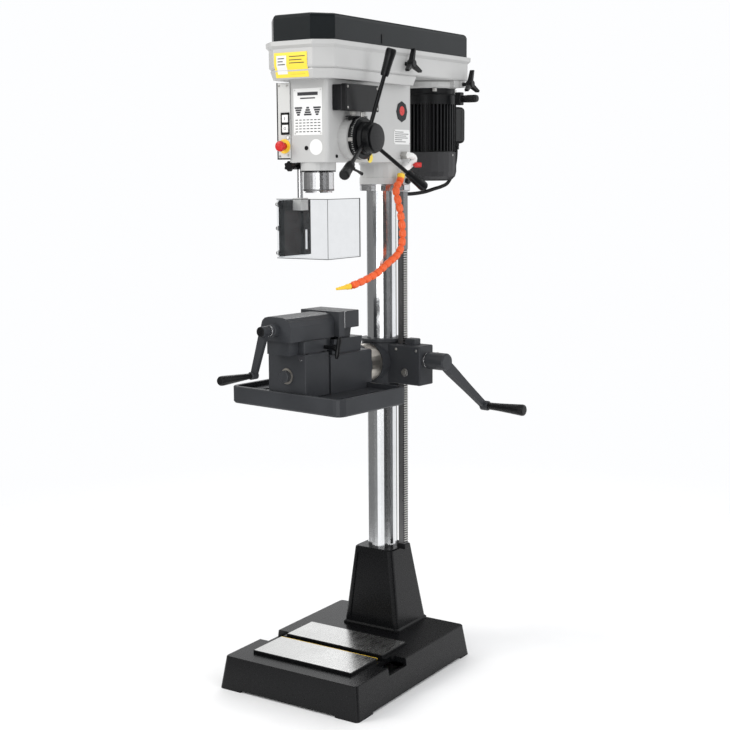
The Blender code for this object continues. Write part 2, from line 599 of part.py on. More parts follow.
def tension_controls(black):
    star_knob("tension_knob_side", "x", (0, -31, 1585), 97, black)
    star_knob("tension_knob_rear", "x", (0, MOTOR_Y + 26, 1548.5), 104, black)
    pivot = (101, MOTOR_Y, 1508)
    block = soft_box(92 + GAP, 110, MOTOR_Y - 10, MOTOR_Y + 10, 1492, 1526, 1.5, 1)
    grip = lathe([(0, 108), (7, 108), (9, 112), (10, 130), (10, 152), (8, 157), (0, 158)], "x", (0, MOTOR_Y, 1508))
    finish("tension_lever", merged([block, grip]), black, pivot)


# ---------------------------------------------------------------- guard and coolant
def guard(black, grey, clear, steel):
    bracket = soft_box(-88, -49, -275, -245, 1321, HEAD_BOTTOM - GAP, 1.5, 1)
    bracket_cuts = [rod(ROD_R + 0.3, 1300, 1360, "z", (ROD_X, ROD_Y, 0)),
                    rod(3.4, -290, -262, "y", (ROD_X, 0, 1329))]
    finish("guard_bracket", merged([bracket], bracket_cuts), black)
    finish("guard_rod", rod(ROD_R, 1224, 1345, "z", (ROD_X, ROD_Y, 0), SMALL, 1.0), steel, (ROD_X, ROD_Y, 1345))
    petals = prism([(r * math.cos(a), r * math.sin(a)) for a, r in (
        (2 * math.pi * i / 36, 11.3 + 1.5 * math.cos(6 * 2 * math.pi * i / 36)) for i in range(36))], -309, -297)
    stem = lathe([(0, -268), (3, -268), (3, -276), (6.5, -276), (6.5, -298), (0, -298)][::-1], facets=SMALL)
    knob = placed(merged([petals, stem]), "y", (ROD_X, 0, 1329))
    finish("guard_clamp_knob", knob, black, (ROD_X, -276, 1329))
    plate = box(GUARD_LEFT + 3 + GAP, -88, GUARD_FRONT + 3 + GAP, -205, GUARD_BOTTOM + 3, GUARD_TOP - 3)
    strip = box(-88.5, -83, -236, -205, GUARD_BOTTOM + 3, GUARD_TOP - 3)
    block = soft_box(-88.5, -62, -275, -245, 1220, 1250, 1, 1)
    frame_cuts = [rod(ROD_R + 0.3, 1222, 1260, "z", (ROD_X, ROD_Y, 0)),
                  box(-90, -80, -229, -211, GUARD_BOTTOM + 16, 1170)]
    finish("guard_frame", merged([plate, strip, block], frame_cuts), black, (ROD_X, ROD_Y, 1249))
    outline = [(GUARD_LEFT, GUARD_FRONT), (GUARD_RIGHT, GUARD_FRONT), (GUARD_RIGHT, GUARD_BACK)]
    front = box(GUARD_LEFT, GUARD_RIGHT, GUARD_FRONT, GUARD_FRONT + 3, GUARD_BOTTOM, GUARD_TOP)
    side = box(GUARD_RIGHT - 3, GUARD_RIGHT, GUARD_FRONT, GUARD_BACK, GUARD_BOTTOM, GUARD_TOP)
    left = box(GUARD_LEFT, GUARD_LEFT + 3, GUARD_FRONT, -205, GUARD_BOTTOM, GUARD_TOP)
    lips = []
    for z in (GUARD_BOTTOM, GUARD_TOP - 2.5):
        lips.append(box(outline[0][0] + 1, outline[1][0] - 1, GUARD_FRONT + 1, GUARD_FRONT + 10, z, z + 2.5))
        lips.append(box(GUARD_RIGHT - 10, GUARD_RIGHT - 1, GUARD_FRONT + 1, GUARD_BACK, z, z + 2.5))
    finish("guard_screen", merged([front, side, left] + lips), clear, (ROD_X, ROD_Y, 1249))


HOSE_ROUTE = ((73, -18, 1305), (74, -27, 1288), (78, -49, 1275), (80, -53, 1259), (83, -48, 1236), (86, -45, 1216),
              (89, -43, 1190), (91, -41, 1163), (91, -42, 1137), (90, -50, 1115), (88.5, -70, 1098), (87, -100, 1085),
              (85, -128, 1071.5), (82, -153, 1059), (78, -180, 1050), (72, -212, 1041), (63, -243, 1033))
NOZZLE_TIP = (50, -286, 1028.7)


def coolant(metal, plastic, orange, yellow, red):
    fitting = rod(9.5, HEAD_HALF + GAP, 78, "x", (0, 12, 1356), 6)
    elbow = sweep([(74, 12, 1356), (82, 22, 1354), (84, 30, 1347), (82, 26, 1338), (78, 6, 1325), (74, -12, 1313.5)],
                  [8, 8.5, 8.5, 8.5, 8.5, 8.5], 12, 2)
    finish("coolant_valve", merged([fitting, elbow]), plastic)
    wheel = merged([rod(3.5, 91.5, 97, "x", (0, 14, 1331), 12), soft_box(96, 103, 8, 38, 1325, 1337, 2.5, 2)])
    finish("valve_handle", wheel, red, (97, 14, 1331))
    collar = lathe([(0, 0), (9.8, 0), (9.8, 12), (8.2, 14), (0, 14)], facets=SMALL)
    turn = (Vector(HOSE_ROUTE[1]) - Vector(HOSE_ROUTE[0])).to_track_quat('Z', 'Y').to_matrix().to_4x4()
    bmesh.ops.transform(collar, matrix=Matrix.Translation(HOSE_ROUTE[0]) @ turn, verts=collar.verts)
    hose = sweep(HOSE_ROUTE, 8.6, 10, 1)
    finish("coolant_hose", merged([hose, collar]), orange, HOSE_ROUTE[0])
    end, tip = Vector(HOSE_ROUTE[-1]), Vector(NOZZLE_TIP)
    along = (tip - end).normalized()
    start = end + along * 2.2
    nozzle = merged([bar(start, start + along * 10, 7.8, 7.2), bar(start + along * 9, tip, 6.4, 3.2)])
    finish("coolant_nozzle", nozzle, yellow, start)


# ---------------------------------------------------------------- table group
def column_rack(steel, table):
    pitch = math.pi * RACK_MODULE
    low, high = 322.0, 1115.0
    root, tip = RACK_OUT - 2.2 * RACK_MODULE, RACK_OUT
    phase = LIFT_GEAR_Z - pitch * math.floor((LIFT_GEAR_Z - low) / pitch)
    outline = [(RACK_IN, 305.6), (tip, 305.6)]
    for i in range(int((high - low) / pitch)):
        z = phase + i * pitch
        outline += [(tip, z - 0.26 * pitch), (root, z - 0.14 * pitch), (root, z + 0.14 * pitch), (tip, z + 0.26 * pitch)]
    outline += [(tip, 1263), (RACK_IN, 1263)]
    mesh = bmesh.new()
    sides = [[mesh.verts.new((x, y, z)) for x, z in outline] for y in (-RACK_HALF, RACK_HALF)]
    skin(mesh, *sides)
    mesh.faces.new(sides[0])
    mesh.faces.new(sides[1])
    bmesh.ops.recalc_face_normals(mesh, faces=mesh.faces)
    finish("column_rack", mesh, steel, (0, 0, 305.6), table)
    ring = tube(56.4, BORE_R, 1265, NECK_BOTTOM - GAP)
    lug = soft_box(50, 86, -12, 12, 1265, NECK_BOTTOM - GAP, 1.5, 1)
    cap = rod(BORE_R, 1200, 1300, facets=ROUND)
    finish("rack_collar_top", merged([ring, lug], [cap]), steel, (0, 0, 1265), table)


def table_bracket(paint, table):
    sleeve = lathe([(0, 745), (56, 745), (57.5, 747), (57.5, 753), (54, 756), (54, 866), (57.5, 868.5), (57.5, 875),
                    (56, 876), (0, 876)])
    case = soft_box(30, 150, -29, 29, 760, 864, 3, 2)
    top = soft_box(88, 121, -14, 14, 855, 880, 2, 1)
    pad = rod(52.5, -60, -20, "y", (0, 0, TILT_Z), ROUND)
    lug = box(-17, 17, 40, 86, 780, 842)
    gear_r = RACK_MODULE * LIFT_TEETH / 2 + RACK_MODULE + 0.9
    gear = (LIFT_GEAR_X, 0, LIFT_GEAR_Z)
    cuts = [rod(BORE_R, 700, 900, facets=ROUND),
            box(RACK_IN - 0.5, RACK_OUT + 0.5, -RACK_HALF - 0.5, RACK_HALF + 0.5, 700, 900),
            lathe([(0, -40), (8.5, -40), (8.5, -11), (gear_r, -11), (gear_r, 11), (8.5, 11), (8.5, 40), (0, 40)],
                  "y", gear),
            rod(10.5, RACK_OUT, 160, "x", (0, 0, CRANK_Z)),
            box(-1.5, 1.5, 30, 100, 700, 900),
            rod(6.3, -30, 30, "x", (0, 66, 811))]
    finish("table_bracket", merged([sleeve, case, top, pad, lug], cuts), paint, (0, 0, 745), table)


def lift_drive(steel, black, table):
    worm = lathe([(0, RACK_OUT + 5), (9.9, RACK_OUT + 5), (9.9, 150.3), (19, 150.4), (19, 156), (11, 157), (11, 205),
                  (0, 205)], "x", (0, 0, CRANK_Z), 24)
    finish("lift_worm_shaft", worm, steel, (150, 0, CRANK_Z), table)
    pitch_r = RACK_MODULE * LIFT_TEETH / 2
    gear = merged([gear_teeth(pitch_r, RACK_MODULE, LIFT_TEETH, -10, 10, math.pi * RACK_MODULE * 0.34),
                   rod(8.1, -31, 31)])
    turn = Matrix.Rotation(math.pi / 2 - math.pi, 4, 'Z')
    bmesh.ops.transform(gear, matrix=turn, verts=gear.verts)
    finish("lift_pinion", placed(gear, "y", (LIFT_GEAR_X, 0, LIFT_GEAR_Z)), steel,
           (LIFT_GEAR_X, 0, LIFT_GEAR_Z), table)
    end = (226, 157, CRANK_Z - 134)
    hub = lathe([(0, 158), (21, 158), (22.5, 160), (22.5, 214), (20, 218), (0, 218)], "x", (0, 0, CRANK_Z), 28)
    direction = Vector((0, end[1], end[2] - CRANK_Z)).normalized()
    across = Vector((0, -direction.z, direction.y))
    centre = Vector((0, 0, CRANK_Z))
    sections = []
    for reach, half, x0, x1 in ((14, 15, 198, 214), (40, 15, 200, 216), (120, 12, 210, 223), (196, 10, 219, 231)):
        point = centre + direction * reach
        sections.append([(x0, *(point - across * half).yz), (x1, *(point - across * half * 0.8).yz),
                         (x1, *(point + across * half * 0.8).yz), (x0, *(point + across * half).yz)])
    boss = rod(13, 217, 240, "x", (0, end[1], end[2]), SMALL, 1.5)
    arm = merged([hub, loft(sections), boss], [rod(5.4, 225, 250, "x", (0, end[1], end[2])),
                                               rod(11.4, 150, 206, "x", (0, 0, CRANK_Z), 24)])
    finish("lift_crank", arm, black, (150, 0, CRANK_Z), table)
    grip = lathe([(0, 226), (5, 226), (5, 240.4), (8, 240.4), (9.5, 246), (10, 262), (13, 320), (15, 346), (13.5, 352),
                  (0, 353)], "x", (0, end[1], end[2]), 24)
    finish("lift_crank_grip", grip, black, (240, end[1], end[2]), table)
    lock = merged([rod(6, -26, 30, "x", (0, 66, 811)), rod(11, -36, -17 - GAP, "x", (0, 66, 811), SMALL, 1),
                   bar((-27, 66, 811), (-52, 104, 770), 5, 4.5), lathe([(0, -12), (7, -10.5), (11, -5), (12, 0), (11, 5),
                   (7, 10.5), (0, 12)], "x", (-56, 110, 764), SMALL)])
    finish("bracket_lock_lever", lock, black, (-27, 66, 811), table)


def vise(paint, steel, black, table):
    pivot = (0, TABLE_BACK, TILT_Z)
    trunnion = lathe([(0, -60 - GAP), (50.5, -60 - GAP), (50.5, -101), (20, -101.5), (20, -374), (14.5, -374.5),
                      (14.5, -383), (12.5, -385), (0, -385)][::-1], "y", (0, 0, TILT_Z))
    finish("trunnion", trunnion, steel, (0, -60, TILT_Z), table)
    front = soft_box(-63.5, 63.5, -373, -286, TABLE_FACE + GAP, 873, 3, 2)
    upper = soft_box(-55, 55, -368, -284, 860, 904.5, 2, 1)
    neck = box(-58, 58, -290, -274, TABLE_FACE + GAP, 858)
    barrel = placed(prism([(TABLE_FACE + GAP, -62), (858, -62), (861, -58), (861, 58), (858, 62), (TABLE_FACE + GAP, 62)],
                          -279, -118), "y")
    rear = lathe([(0, -122), (53, -122), (53, -104), (51, -102), (0, -102)], "y", (0, 0, TILT_Z))
    saddle = loft([[(-50, y, z) for y, z in ((-262, 855), (-150, 855), (-142, 898), (-250, 898))],
                   [(50, y, z) for y, z in ((-262, 855), (-150, 855), (-142, 898), (-250, 898))]])
    support = loft([[(x, y, z) for y, z in ((-226, 890), (-180, 890), (-172, 932), (-219, 932))] for x in (-40, 40)])
    jaw = soft_box(-65, 65, -226.8, -171, 925, 968, 1.5, 1)
    cuts = [rod(20.4, -400, -90, "y", (0, 0, TILT_Z), ROUND), box(-36.5, 36.5, -390, -240, 871, 930),
            box(-70, 70, -245, -236, 897, 930),
            box(-90, 90, TABLE_BACK - 14, -90, 700, TABLE_RIM + 0.4),
            rod(5.4, 40, 70, "x", (0, -292, 884))]
    body = merged([front, upper, neck, barrel, rear, saddle, support, jaw], cuts)
    finish("vise_body", body, paint, pivot, table)
    ram_profile = [(-49, 905), (49, 905), (49, 942), (45, 954), (36, 962), (24, 965), (-24, 965), (-36, 962),
                   (-45, 954), (-49, 942)]
    ram_loop = [(z, x) for x, z in ram_profile][::-1]
    ram = merged([placed(prism(ram_loop, -411, -249.3), "y"), box(-36, 36, -404, -249.3, 871.4, 906),
                  rod(16, -428, -405, "y", (0, 0, SCREW_Z), 24, 1.5)],
                 [rod(9.4, -440, -240, "y", (0, 0, SCREW_Z))])
    finish("vise_ram", ram, paint, (0, -411, SCREW_Z), table)
    finish("moving_jaw_plate", soft_box(-65, 65, -249, -227.3, 905, 968, 1, 1), paint, (0, -249, 940), table)
    screw = rod(9, -458, -250, "y", (0, 0, SCREW_Z), 24, 1)
    finish("vise_spindle", screw, steel, (0, -428, SCREW_Z), table)
    end = (-38, SCREW_Z - 111)
    direction = Vector((end[0], 0, end[1] - SCREW_Z)).normalized()
    across = Vector((-direction.z, 0, direction.x))
    centre = Vector((0, -450, SCREW_Z))
    sections = []
    for reach, half in ((4, 12), (60, 10), (112, 8.5)):
        point = centre + direction * reach
        sections.append([tuple(point + across * s * half + Vector((0, d, 0)))
                         for s, d in ((-1, -5), (1, -5), (1, 5), (-1, 5))])
    hub = lathe([(0, -462), (12, -462), (13, -460), (13, -440), (0, -440)], "y", (0, 0, SCREW_Z), 24)
    boss = rod(10, -463, -441, "y", (end[0], 0, end[1]), SMALL, 1.5)
    crank = merged([hub, loft(sections), boss], [rod(4.4, -480, -450, "y", (end[0], 0, end[1])),
                                                rod(9.3, -470, -430, "y", (0, 0, SCREW_Z), 20)])
    finish("vise_crank", crank, black, (0, -450, SCREW_Z), table)
    grip = lathe([(0, -451), (4, -451), (4, -463.4), (7, -463.4), (8, -470), (8.5, -485), (11, -540), (12, -560),
                  (10.5, -566), (0, -567)][::-1], "y", (end[0], 0, end[1]), 24)
    finish("vise_crank_grip", grip, black, (end[0], -463, end[1]), table)
    lever = merged([rod(5, 50, 92, "x", (0, -292, 884)), rod(9, 86, 98, "x", (0, -292, 884), SMALL, 1),
                    soft_box(90, 104, -298, -286, 856, 912, 3, 2)])
    finish("tilt_lock_lever", lever, black, (70, -292, 884), table)
    table_plate(paint, pivot, table)


def table_plate(paint, pivot, table):
    half, front, back = TABLE_HALF, TABLE_FRONT, TABLE_BACK
    body = loft([at_height(rounded(-half + 3, half - 3, front + 3, back - 3, 20), TABLE_BOTTOM),
                 at_height(rounded(-half, half, front, back, 22), TABLE_BOTTOM + 4),
                 at_height(rounded(-half, half, front, back, 22), TABLE_RIM - 2),
                 at_height(rounded(-half + 1.5, half - 1.5, front + 1.5, back - 1.5, 21), TABLE_RIM)])
    tray = prism(rounded(-half + 11, half - 11, front + 11, back - 11, 13), TABLE_FACE, 800)
    cuts = [tray]
    for x in (-128, 128):
        cuts.append(prism(rounded(x - 7, x + 7, front + 40, back - 40, 6.9, 3), 700, 800))
    finish("table_plate", merged([body], cuts), paint, pivot, table)


def main():
    start_scene()
    black = material("black_enamel", (0.035, 0.037, 0.040), 0.42, 0.0)
    dark = material("anthracite_paint", (0.095, 0.100, 0.108), 0.48, 0.0)
    light = material("light_grey_paint", (0.62, 0.61, 0.595), 0.45, 0.0)
    bright = material("ground_steel", (0.60, 0.60, 0.61), 0.24, 1.0)
    cast = material("cast_aluminium", (0.52, 0.53, 0.54), 0.42, 1.0)
    plastic = material("black_plastic", (0.020, 0.021, 0.023), 0.5, 0.0)
    white = material("white_plastic", (0.78, 0.78, 0.77), 0.4, 0.0)
    red = material("red_plastic", (0.62, 0.03, 0.03), 0.35, 0.0)
    yellow = material("yellow_plastic", (0.90, 0.55, 0.06), 0.4, 0.0)
    orange = material("orange_plastic", (0.85, 0.20, 0.05), 0.42, 0.0)
    clear = material("clear_plastic", (0.90, 0.92, 0.93), 0.08, 0.0)
    rubber = material("black_rubber", (0.018, 0.018, 0.018), 0.75, 0.0)
    base_casting(black)
    column_foot(black)
    column_tube(bright)
    head_casting(light)
    belt_box(light)
    belt_cover(dark)
    junction_box(plastic)
    control_panel(light)
    push_buttons(white, red)
    quill(bright)
    spindle(bright)
    pulleys(cast)
    belt("front_belt", BELT_LEVELS[1], SPINDLE_Y, SPINDLE_STEPS[1], IDLER_Y, IDLER_STEPS[1], rubber)
    belt("rear_belt", BELT_LEVELS[2], IDLER_Y, IDLER_STEPS[2], MOTOR_Y, MOTOR_STEPS[2], rubber)
    feed_group(bright, plastic, light)
    motor(plastic, light, bright)
    motor_cable(rubber)
    tension_controls(plastic)
    guard(plastic, light, clear, cast)
    coolant(cast, white, orange, yellow, red)
    table = frame("table_frame", TABLE_SWING)
    column_rack(bright, table)
    table_bracket(dark, table)
    lift_drive(bright, plastic, table)
    vise(dark, bright, plastic, table)


main()
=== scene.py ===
"""Looks of the column drill press: finishes, small fittings, labels, cords, camera and light.

It works in millimetres in the CAD's frame: the column's axis is Z, the floor is Z = 0, and the
operator stands on the -Y side. Pieces of the table group are drawn straight ahead of the column
and swung round it with the table.
"""
import math

import bmesh
import bpy
from mathutils import Matrix, Vector


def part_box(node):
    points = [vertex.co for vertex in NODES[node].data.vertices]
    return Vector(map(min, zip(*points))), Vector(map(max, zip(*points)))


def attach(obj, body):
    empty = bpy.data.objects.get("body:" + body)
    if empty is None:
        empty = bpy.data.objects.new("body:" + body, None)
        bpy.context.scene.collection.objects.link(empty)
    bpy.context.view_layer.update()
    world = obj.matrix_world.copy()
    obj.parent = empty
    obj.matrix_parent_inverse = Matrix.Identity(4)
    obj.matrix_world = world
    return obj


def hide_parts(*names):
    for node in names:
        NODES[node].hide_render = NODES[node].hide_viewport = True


MM = 0.001
FINE = 72                                       # facets of a large round piece
SHARP = math.radians(32)                        # a steeper fold between faces keeps a hard edge
INK = 0.15                                      # how far print stands off its label

SPINDLE_Y, FEED_Y, FEED_Z = -286.0, -238.0, 1395.0
HEAD_HALF, HEAD_FRONT, PANEL_FRONT, JUNCTION_SIDE = 58.0, -331.0, -334.5, 100.0
NOSE = ((1534.0, -378.0), (1556.0, -382.8), (1564.5, -387.0))      # (Z, Y) up the nose's front
NOSE_FOLDS = (1557.5, 1564.5)                   # heights where a sheet round the nose is folded
NECK_RING = (58.0, 56.0)
HINGE_X, HINGE_Z = -96.5, 1621.6
MOTOR_Y, MOTOR_R = 240.0, 80.0
TABLE_SWING = math.radians(-6.7)
TILT_Z, CRANK_Z, SCREW_Z = 815.0, 826.0, 934.0
RACK_IN, RACK_OUT, RACK_LOW, RACK_HIGH = 63.0, 82.0, 305.8, 1262.8
RACK_TEETH_LOW, RACK_TEETH_TOP, RACK_PITCH = 322.0, 1115.0, 2.0 * math.pi

# Name, start and end angle in degrees from the camera's side, and tone of each reflection card.
CARDS = (("card_front", 3, 52, 0.05), ("card_front_right", 52, 76, 0.20),
         ("card_back_right", 134, 180, 0.04), ("card_left", -138, -96, 0.20),
         ("card_front_left", -96, -46, 0.20))
CARD_REACH, CARD_FOOT, CARD_TOP = 1.15, 0.002, 3.2
# Name, place, target, size, power and colour of each lamp, in metres and watts.
LAMPS = (("key", (-2.6, -3.0, 3.2), (0, 0, 1.0), (1.6, 2.4), 80, (1.0, 0.985, 0.96)),
         ("side", (3.4, -0.8, 1.9), (0, 0, 1.1), (1.2, 2.6), 28, (0.97, 0.98, 1.0)),
         ("back", (-1.2, 3.2, 2.8), (0, 0, 1.3), (1.8, 1.4), 30, (1.0, 1.0, 1.0)),
         ("low", (1.2, -3.4, 0.7), (0, 0, 0.7), (1.6, 1.0), 14, (1.0, 1.0, 1.0)))
FLOOR_REACH, FLOOR_FADE = 9.0, (0.7, 2.6)
CAMERA_PLACE = (1.8894, -2.9762, 1.3143)
CAMERA_AZIMUTH, CAMERA_PITCH, CAMERA_ROLL, CAMERA_LENS = 33.15, 8.3, -0.4, 65.33

HOSE_ROUTE = ((73, -18, 1305), (74, -27, 1288), (78, -49, 1275), (80, -53, 1259), (83, -48, 1236),
              (86, -45, 1216), (89, -43, 1190), (91, -41, 1163), (91, -42, 1137), (90, -50, 1115),
              (88.5, -70, 1098), (87, -100, 1085), (85, -128, 1071.5), (82, -153, 1059),
              (78, -180, 1050), (72, -212, 1041), (63, -243, 1033))
HOSE_SEGMENT, HOSE_R = 22.0, 9.0
CABLE_ROUTE = ((20, 368, 1391.5), (20, 366, 1352), (19, 352, 1312), (18, 325, 1282.5),
               (17.5, 290, 1272), (17, 250, 1266), (14, 200, 1258), (9, 145, 1254),
               (0, 114, 1254.5), (-24, 104, 1257), (-45, 88, 1264), (-56, 68, 1280),
               (-57, 54, 1300), (-51, 50, 1320), (-49, 49, 1329), (-49, 49, 1337.5))
CABLE_R = 5.0

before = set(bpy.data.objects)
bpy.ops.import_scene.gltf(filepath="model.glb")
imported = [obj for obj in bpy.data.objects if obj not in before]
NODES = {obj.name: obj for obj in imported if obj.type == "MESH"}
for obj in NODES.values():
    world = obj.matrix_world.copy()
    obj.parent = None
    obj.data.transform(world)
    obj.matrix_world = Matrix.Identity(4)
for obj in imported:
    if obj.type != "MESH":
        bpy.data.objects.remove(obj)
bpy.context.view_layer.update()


# ---------------------------------------------------------------- finishes
def shader(name):
    made = bpy.data.materials.new(name)
    made.use_nodes = True
    return made, made.node_tree.nodes, made.node_tree.links, made.node_tree.nodes["Principled BSDF"]


def noise(nodes, links, scale, detail=3.0, stretch=(1, 1, 1)):
    """Noise over the object's own metres, stretched where a tool left marks."""
    place = nodes.new("ShaderNodeTexCoord")
    mapping = nodes.new("ShaderNodeMapping")
    mapping.inputs["Scale"].default_value = stretch
    grain = nodes.new("ShaderNodeTexNoise")
    grain.inputs["Scale"].default_value = scale
    grain.inputs["Detail"].default_value = detail
    links.new(place.outputs["Object"], mapping.inputs["Vector"])
    links.new(mapping.outputs["Vector"], grain.inputs["Vector"])
    return grain.outputs["Fac"]


def spread(nodes, links, value, low, high):
    """Noise values, mapped to the range from low to high."""
    change = nodes.new("ShaderNodeMapRange")
    change.inputs["From Min"].default_value = 0.3
    change.inputs["From Max"].default_value = 0.7
    change.inputs["To Min"].default_value = low
    change.inputs["To Max"].default_value = high
    links.new(value, change.inputs["Value"])
    return change.outputs["Result"]


def tinted(nodes, links, value, colour, change):
    """The colour, a little darker and lighter from place to place."""
    ramp = nodes.new("ShaderNodeValToRGB")
    ramp.color_ramp.elements[0].position = 0.3
    ramp.color_ramp.elements[1].position = 0.7
    ramp.color_ramp.elements[0].color = (*[c * (1 - change) for c in colour], 1)
    ramp.color_ramp.elements[1].color = (*[min(c * (1 + change), 1) for c in colour], 1)
    links.new(value, ramp.inputs["Fac"])
    return ramp.outputs["Color"]


def surface(name, colour, rough=(0.35, 0.5), metallic=0.0, grain=500.0, bump=0.15, change=0.06,
            stretch=(1, 1, 1), depth=0.0004, coat=0.0, patch=9.0, specular=0.5):
    """One finish: slow colour change, roughness that varies, and a fine relief."""
    made, nodes, links, body = shader(name)
    slow = noise(nodes, links, patch, 4.0)
    fine = noise(nodes, links, grain, 3.0, stretch)
    links.new(tinted(nodes, links, slow, colour, change), body.inputs["Base Color"])
    links.new(spread(nodes, links, fine, *rough), body.inputs["Roughness"])
    relief = nodes.new("ShaderNodeBump")
    relief.inputs["Strength"].default_value = bump
    relief.inputs["Distance"].default_value = depth
    links.new(fine, relief.inputs["Height"])
    links.new(relief.outputs["Normal"], body.inputs["Normal"])
    body.inputs["Metallic"].default_value = metallic
    body.inputs["Specular IOR Level"].default_value = specular
    body.inputs["Coat Weight"].default_value = coat
    body.inputs["Coat Roughness"].default_value = 0.18
    return made


def metal(name, colour, rough, grain, bump, change, stretch=(1, 1, 1)):
    """Bare metal, with the marks of the tool that cut it."""
    return surface(name, colour, rough, 1.0, grain, bump, change, stretch)


def clear_plastic(name):
    """Thin clear sheet: mostly seen through, a little grey, with scuffs and gloss."""
    made, nodes, links, body = shader(name)
    scuffs = noise(nodes, links, 40.0, 5.0)
    links.new(spread(nodes, links, scuffs, 0.03, 0.12), body.inputs["Roughness"])
    links.new(tinted(nodes, links, scuffs, (0.26, 0.28, 0.29), 0.05), body.inputs["Base Color"])
    through = nodes.new("ShaderNodeBsdfTransparent")
    through.inputs["Color"].default_value = (0.93, 0.935, 0.94, 1)
    blend = nodes.new("ShaderNodeMixShader")
    links.new(spread(nodes, links, scuffs, 0.03, 0.06), blend.inputs["Fac"])
    links.new(through.outputs["BSDF"], blend.inputs[1])
    links.new(body.outputs["BSDF"], blend.inputs[2])
    links.new(blend.outputs["Shader"], nodes["Material Output"].inputs["Surface"])
    return made


FINISH = {
    "light": surface("head_paint", (0.465, 0.465, 0.458), (0.32, 0.44), grain=420, bump=0.10,
                     change=0.035, coat=0.15),
    "panel": surface("panel_face", (0.56, 0.56, 0.545), (0.38, 0.5), grain=900, bump=0.05,
                     change=0.02),
    "anthracite": surface("cover_paint", (0.008, 0.0105, 0.012), (0.24, 0.36), grain=1500,
                          bump=0.25, change=0.10, specular=0.24),
    "black": surface("black_enamel", (0.0035, 0.0037, 0.0042), (0.2, 0.34), grain=260, bump=0.14,
                     change=0.15, specular=0.22),
    "charcoal": surface("vise_paint", (0.031, 0.033, 0.037), (0.36, 0.5), grain=700, bump=0.28,
                        change=0.14, specular=0.3),
    "motor": surface("motor_paint", (0.0045, 0.0048, 0.0056), (0.3, 0.44), grain=600, bump=0.2,
                     change=0.1, specular=0.28),
    "fan": surface("fan_cover_paint", (0.034, 0.034, 0.036), (0.3, 0.42), grain=700, bump=0.12,
                   change=0.1, specular=0.3),
    "plastic": surface("black_plastic", (0.0045, 0.0048, 0.0055), (0.22, 0.34), grain=1400,
                       bump=0.06, change=0.1, specular=0.28),
    "grip": surface("grip_plastic", (0.007, 0.0072, 0.0078), (0.3, 0.42), grain=1200, bump=0.15,
                    change=0.1, specular=0.28),
    "rubber": surface("black_rubber", (0.006, 0.006, 0.006), (0.5, 0.65), grain=900, bump=0.2,
                      change=0.1, specular=0.25),
    "column": metal("polished_column", (0.80, 0.81, 0.82), (0.15, 0.21), 22, 0.03, 0.04, (1, 1, 30)),
    "steel": metal("ground_steel", (0.70, 0.70, 0.71), (0.16, 0.28), 120, 0.06, 0.08, (1, 1, 9)),
    "ground": metal("ground_pads", (0.66, 0.66, 0.65), (0.2, 0.32), 30, 0.04, 0.06, (18, 1, 1)),
    "warm": metal("machined_iron", (0.60, 0.565, 0.51), (0.26, 0.4), 70, 0.12, 0.12, (1, 12, 1)),
    # dark_steel: steel made darker as painted shade, for the rack's side in the column's shadow; the
    # quill's lower ring uses it too
    "dark_steel": metal("shade_darkened_steel", (0.24, 0.24, 0.245), (0.26, 0.40), 180, 0.12, 0.12),
    "aluminium": metal("cast_aluminium", (0.50, 0.51, 0.52), (0.34, 0.48), 400, 0.15, 0.07),
    "zinc": metal("zinc_fastener", (0.58, 0.57, 0.55), (0.25, 0.38), 500, 0.1, 0.08),
    "white": surface("white_plastic", (0.80, 0.80, 0.785), (0.30, 0.4), grain=900, bump=0.04,
                     change=0.02),
    "label": surface("label_white", (0.74, 0.74, 0.73), (0.35, 0.45), grain=1200, bump=0.02,
                     change=0.015),
    "ink": surface("label_ink", (0.035, 0.035, 0.04), (0.4, 0.5), grain=1200, bump=0.02,
                   change=0.05, specular=0.3),
    "red": surface("red_plastic", (0.55, 0.018, 0.016), (0.22, 0.32), grain=800, bump=0.05,
                   change=0.05),
    "yellow": surface("yellow_plastic", (0.86, 0.55, 0.035), (0.28, 0.38), grain=800, bump=0.05,
                      change=0.04),
    "sticker": surface("yellow_label", (0.88, 0.66, 0.06), (0.34, 0.42), grain=900, bump=0.03,
                       change=0.03),
    "orange": surface("orange_hose", (0.80, 0.115, 0.022), (0.28, 0.38), grain=700, bump=0.06,
                      change=0.05),
    "shade": surface("screen_edge", (0.055, 0.058, 0.06), (0.25, 0.35), grain=900, bump=0.02,
                     change=0.04),
    "clear": clear_plastic("clear_screen"),
}
DRESSED = {
    "light": ("head_casting", "belt_box", "return_spring_cap", "motor_plate"),
    "panel": ("control_panel",),
    "anthracite": ("belt_cover",),
    "black": ("base_casting", "column_foot"),
    "charcoal": ("table_bracket", "lift_crank", "vise_crank", "vise_body", "vise_ram",
                 "table_plate", "moving_jaw_plate"),
    "motor": ("motor_body", "motor_terminal_box"),
    "fan": ("motor_fan_cover",),
    "plastic": ("junction_box", "depth_ring", "feed_hub", "feed_lever_1", "feed_lever_2",
                "feed_lever_3", "tension_knob_side", "tension_knob_rear", "guard_bracket",
                "guard_clamp_knob", "guard_frame", "bracket_lock_lever", "tilt_lock_lever"),
    "grip": ("lift_crank_grip", "vise_crank_grip", "tension_lever"),
    "rubber": ("front_belt", "rear_belt", "motor_cable"),
    "column": ("column_tube",),
    "steel": ("quill", "spindle", "feed_shaft", "motor_rotor", "rack_collar_top",
              "lift_worm_shaft", "lift_pinion", "vise_spindle", "guard_rod"),
    "dark_steel": ("column_rack",),
    "warm": ("trunnion",),
    "aluminium": ("spindle_pulley", "idler_pulley", "motor_pulley"),
    "white": ("start_button", "stop_button", "coolant_valve"),
    "red": ("emergency_stop", "valve_handle"),
    "yellow": ("coolant_nozzle",),
    "orange": ("coolant_hose",),
    "clear": ("guard_screen",),
}
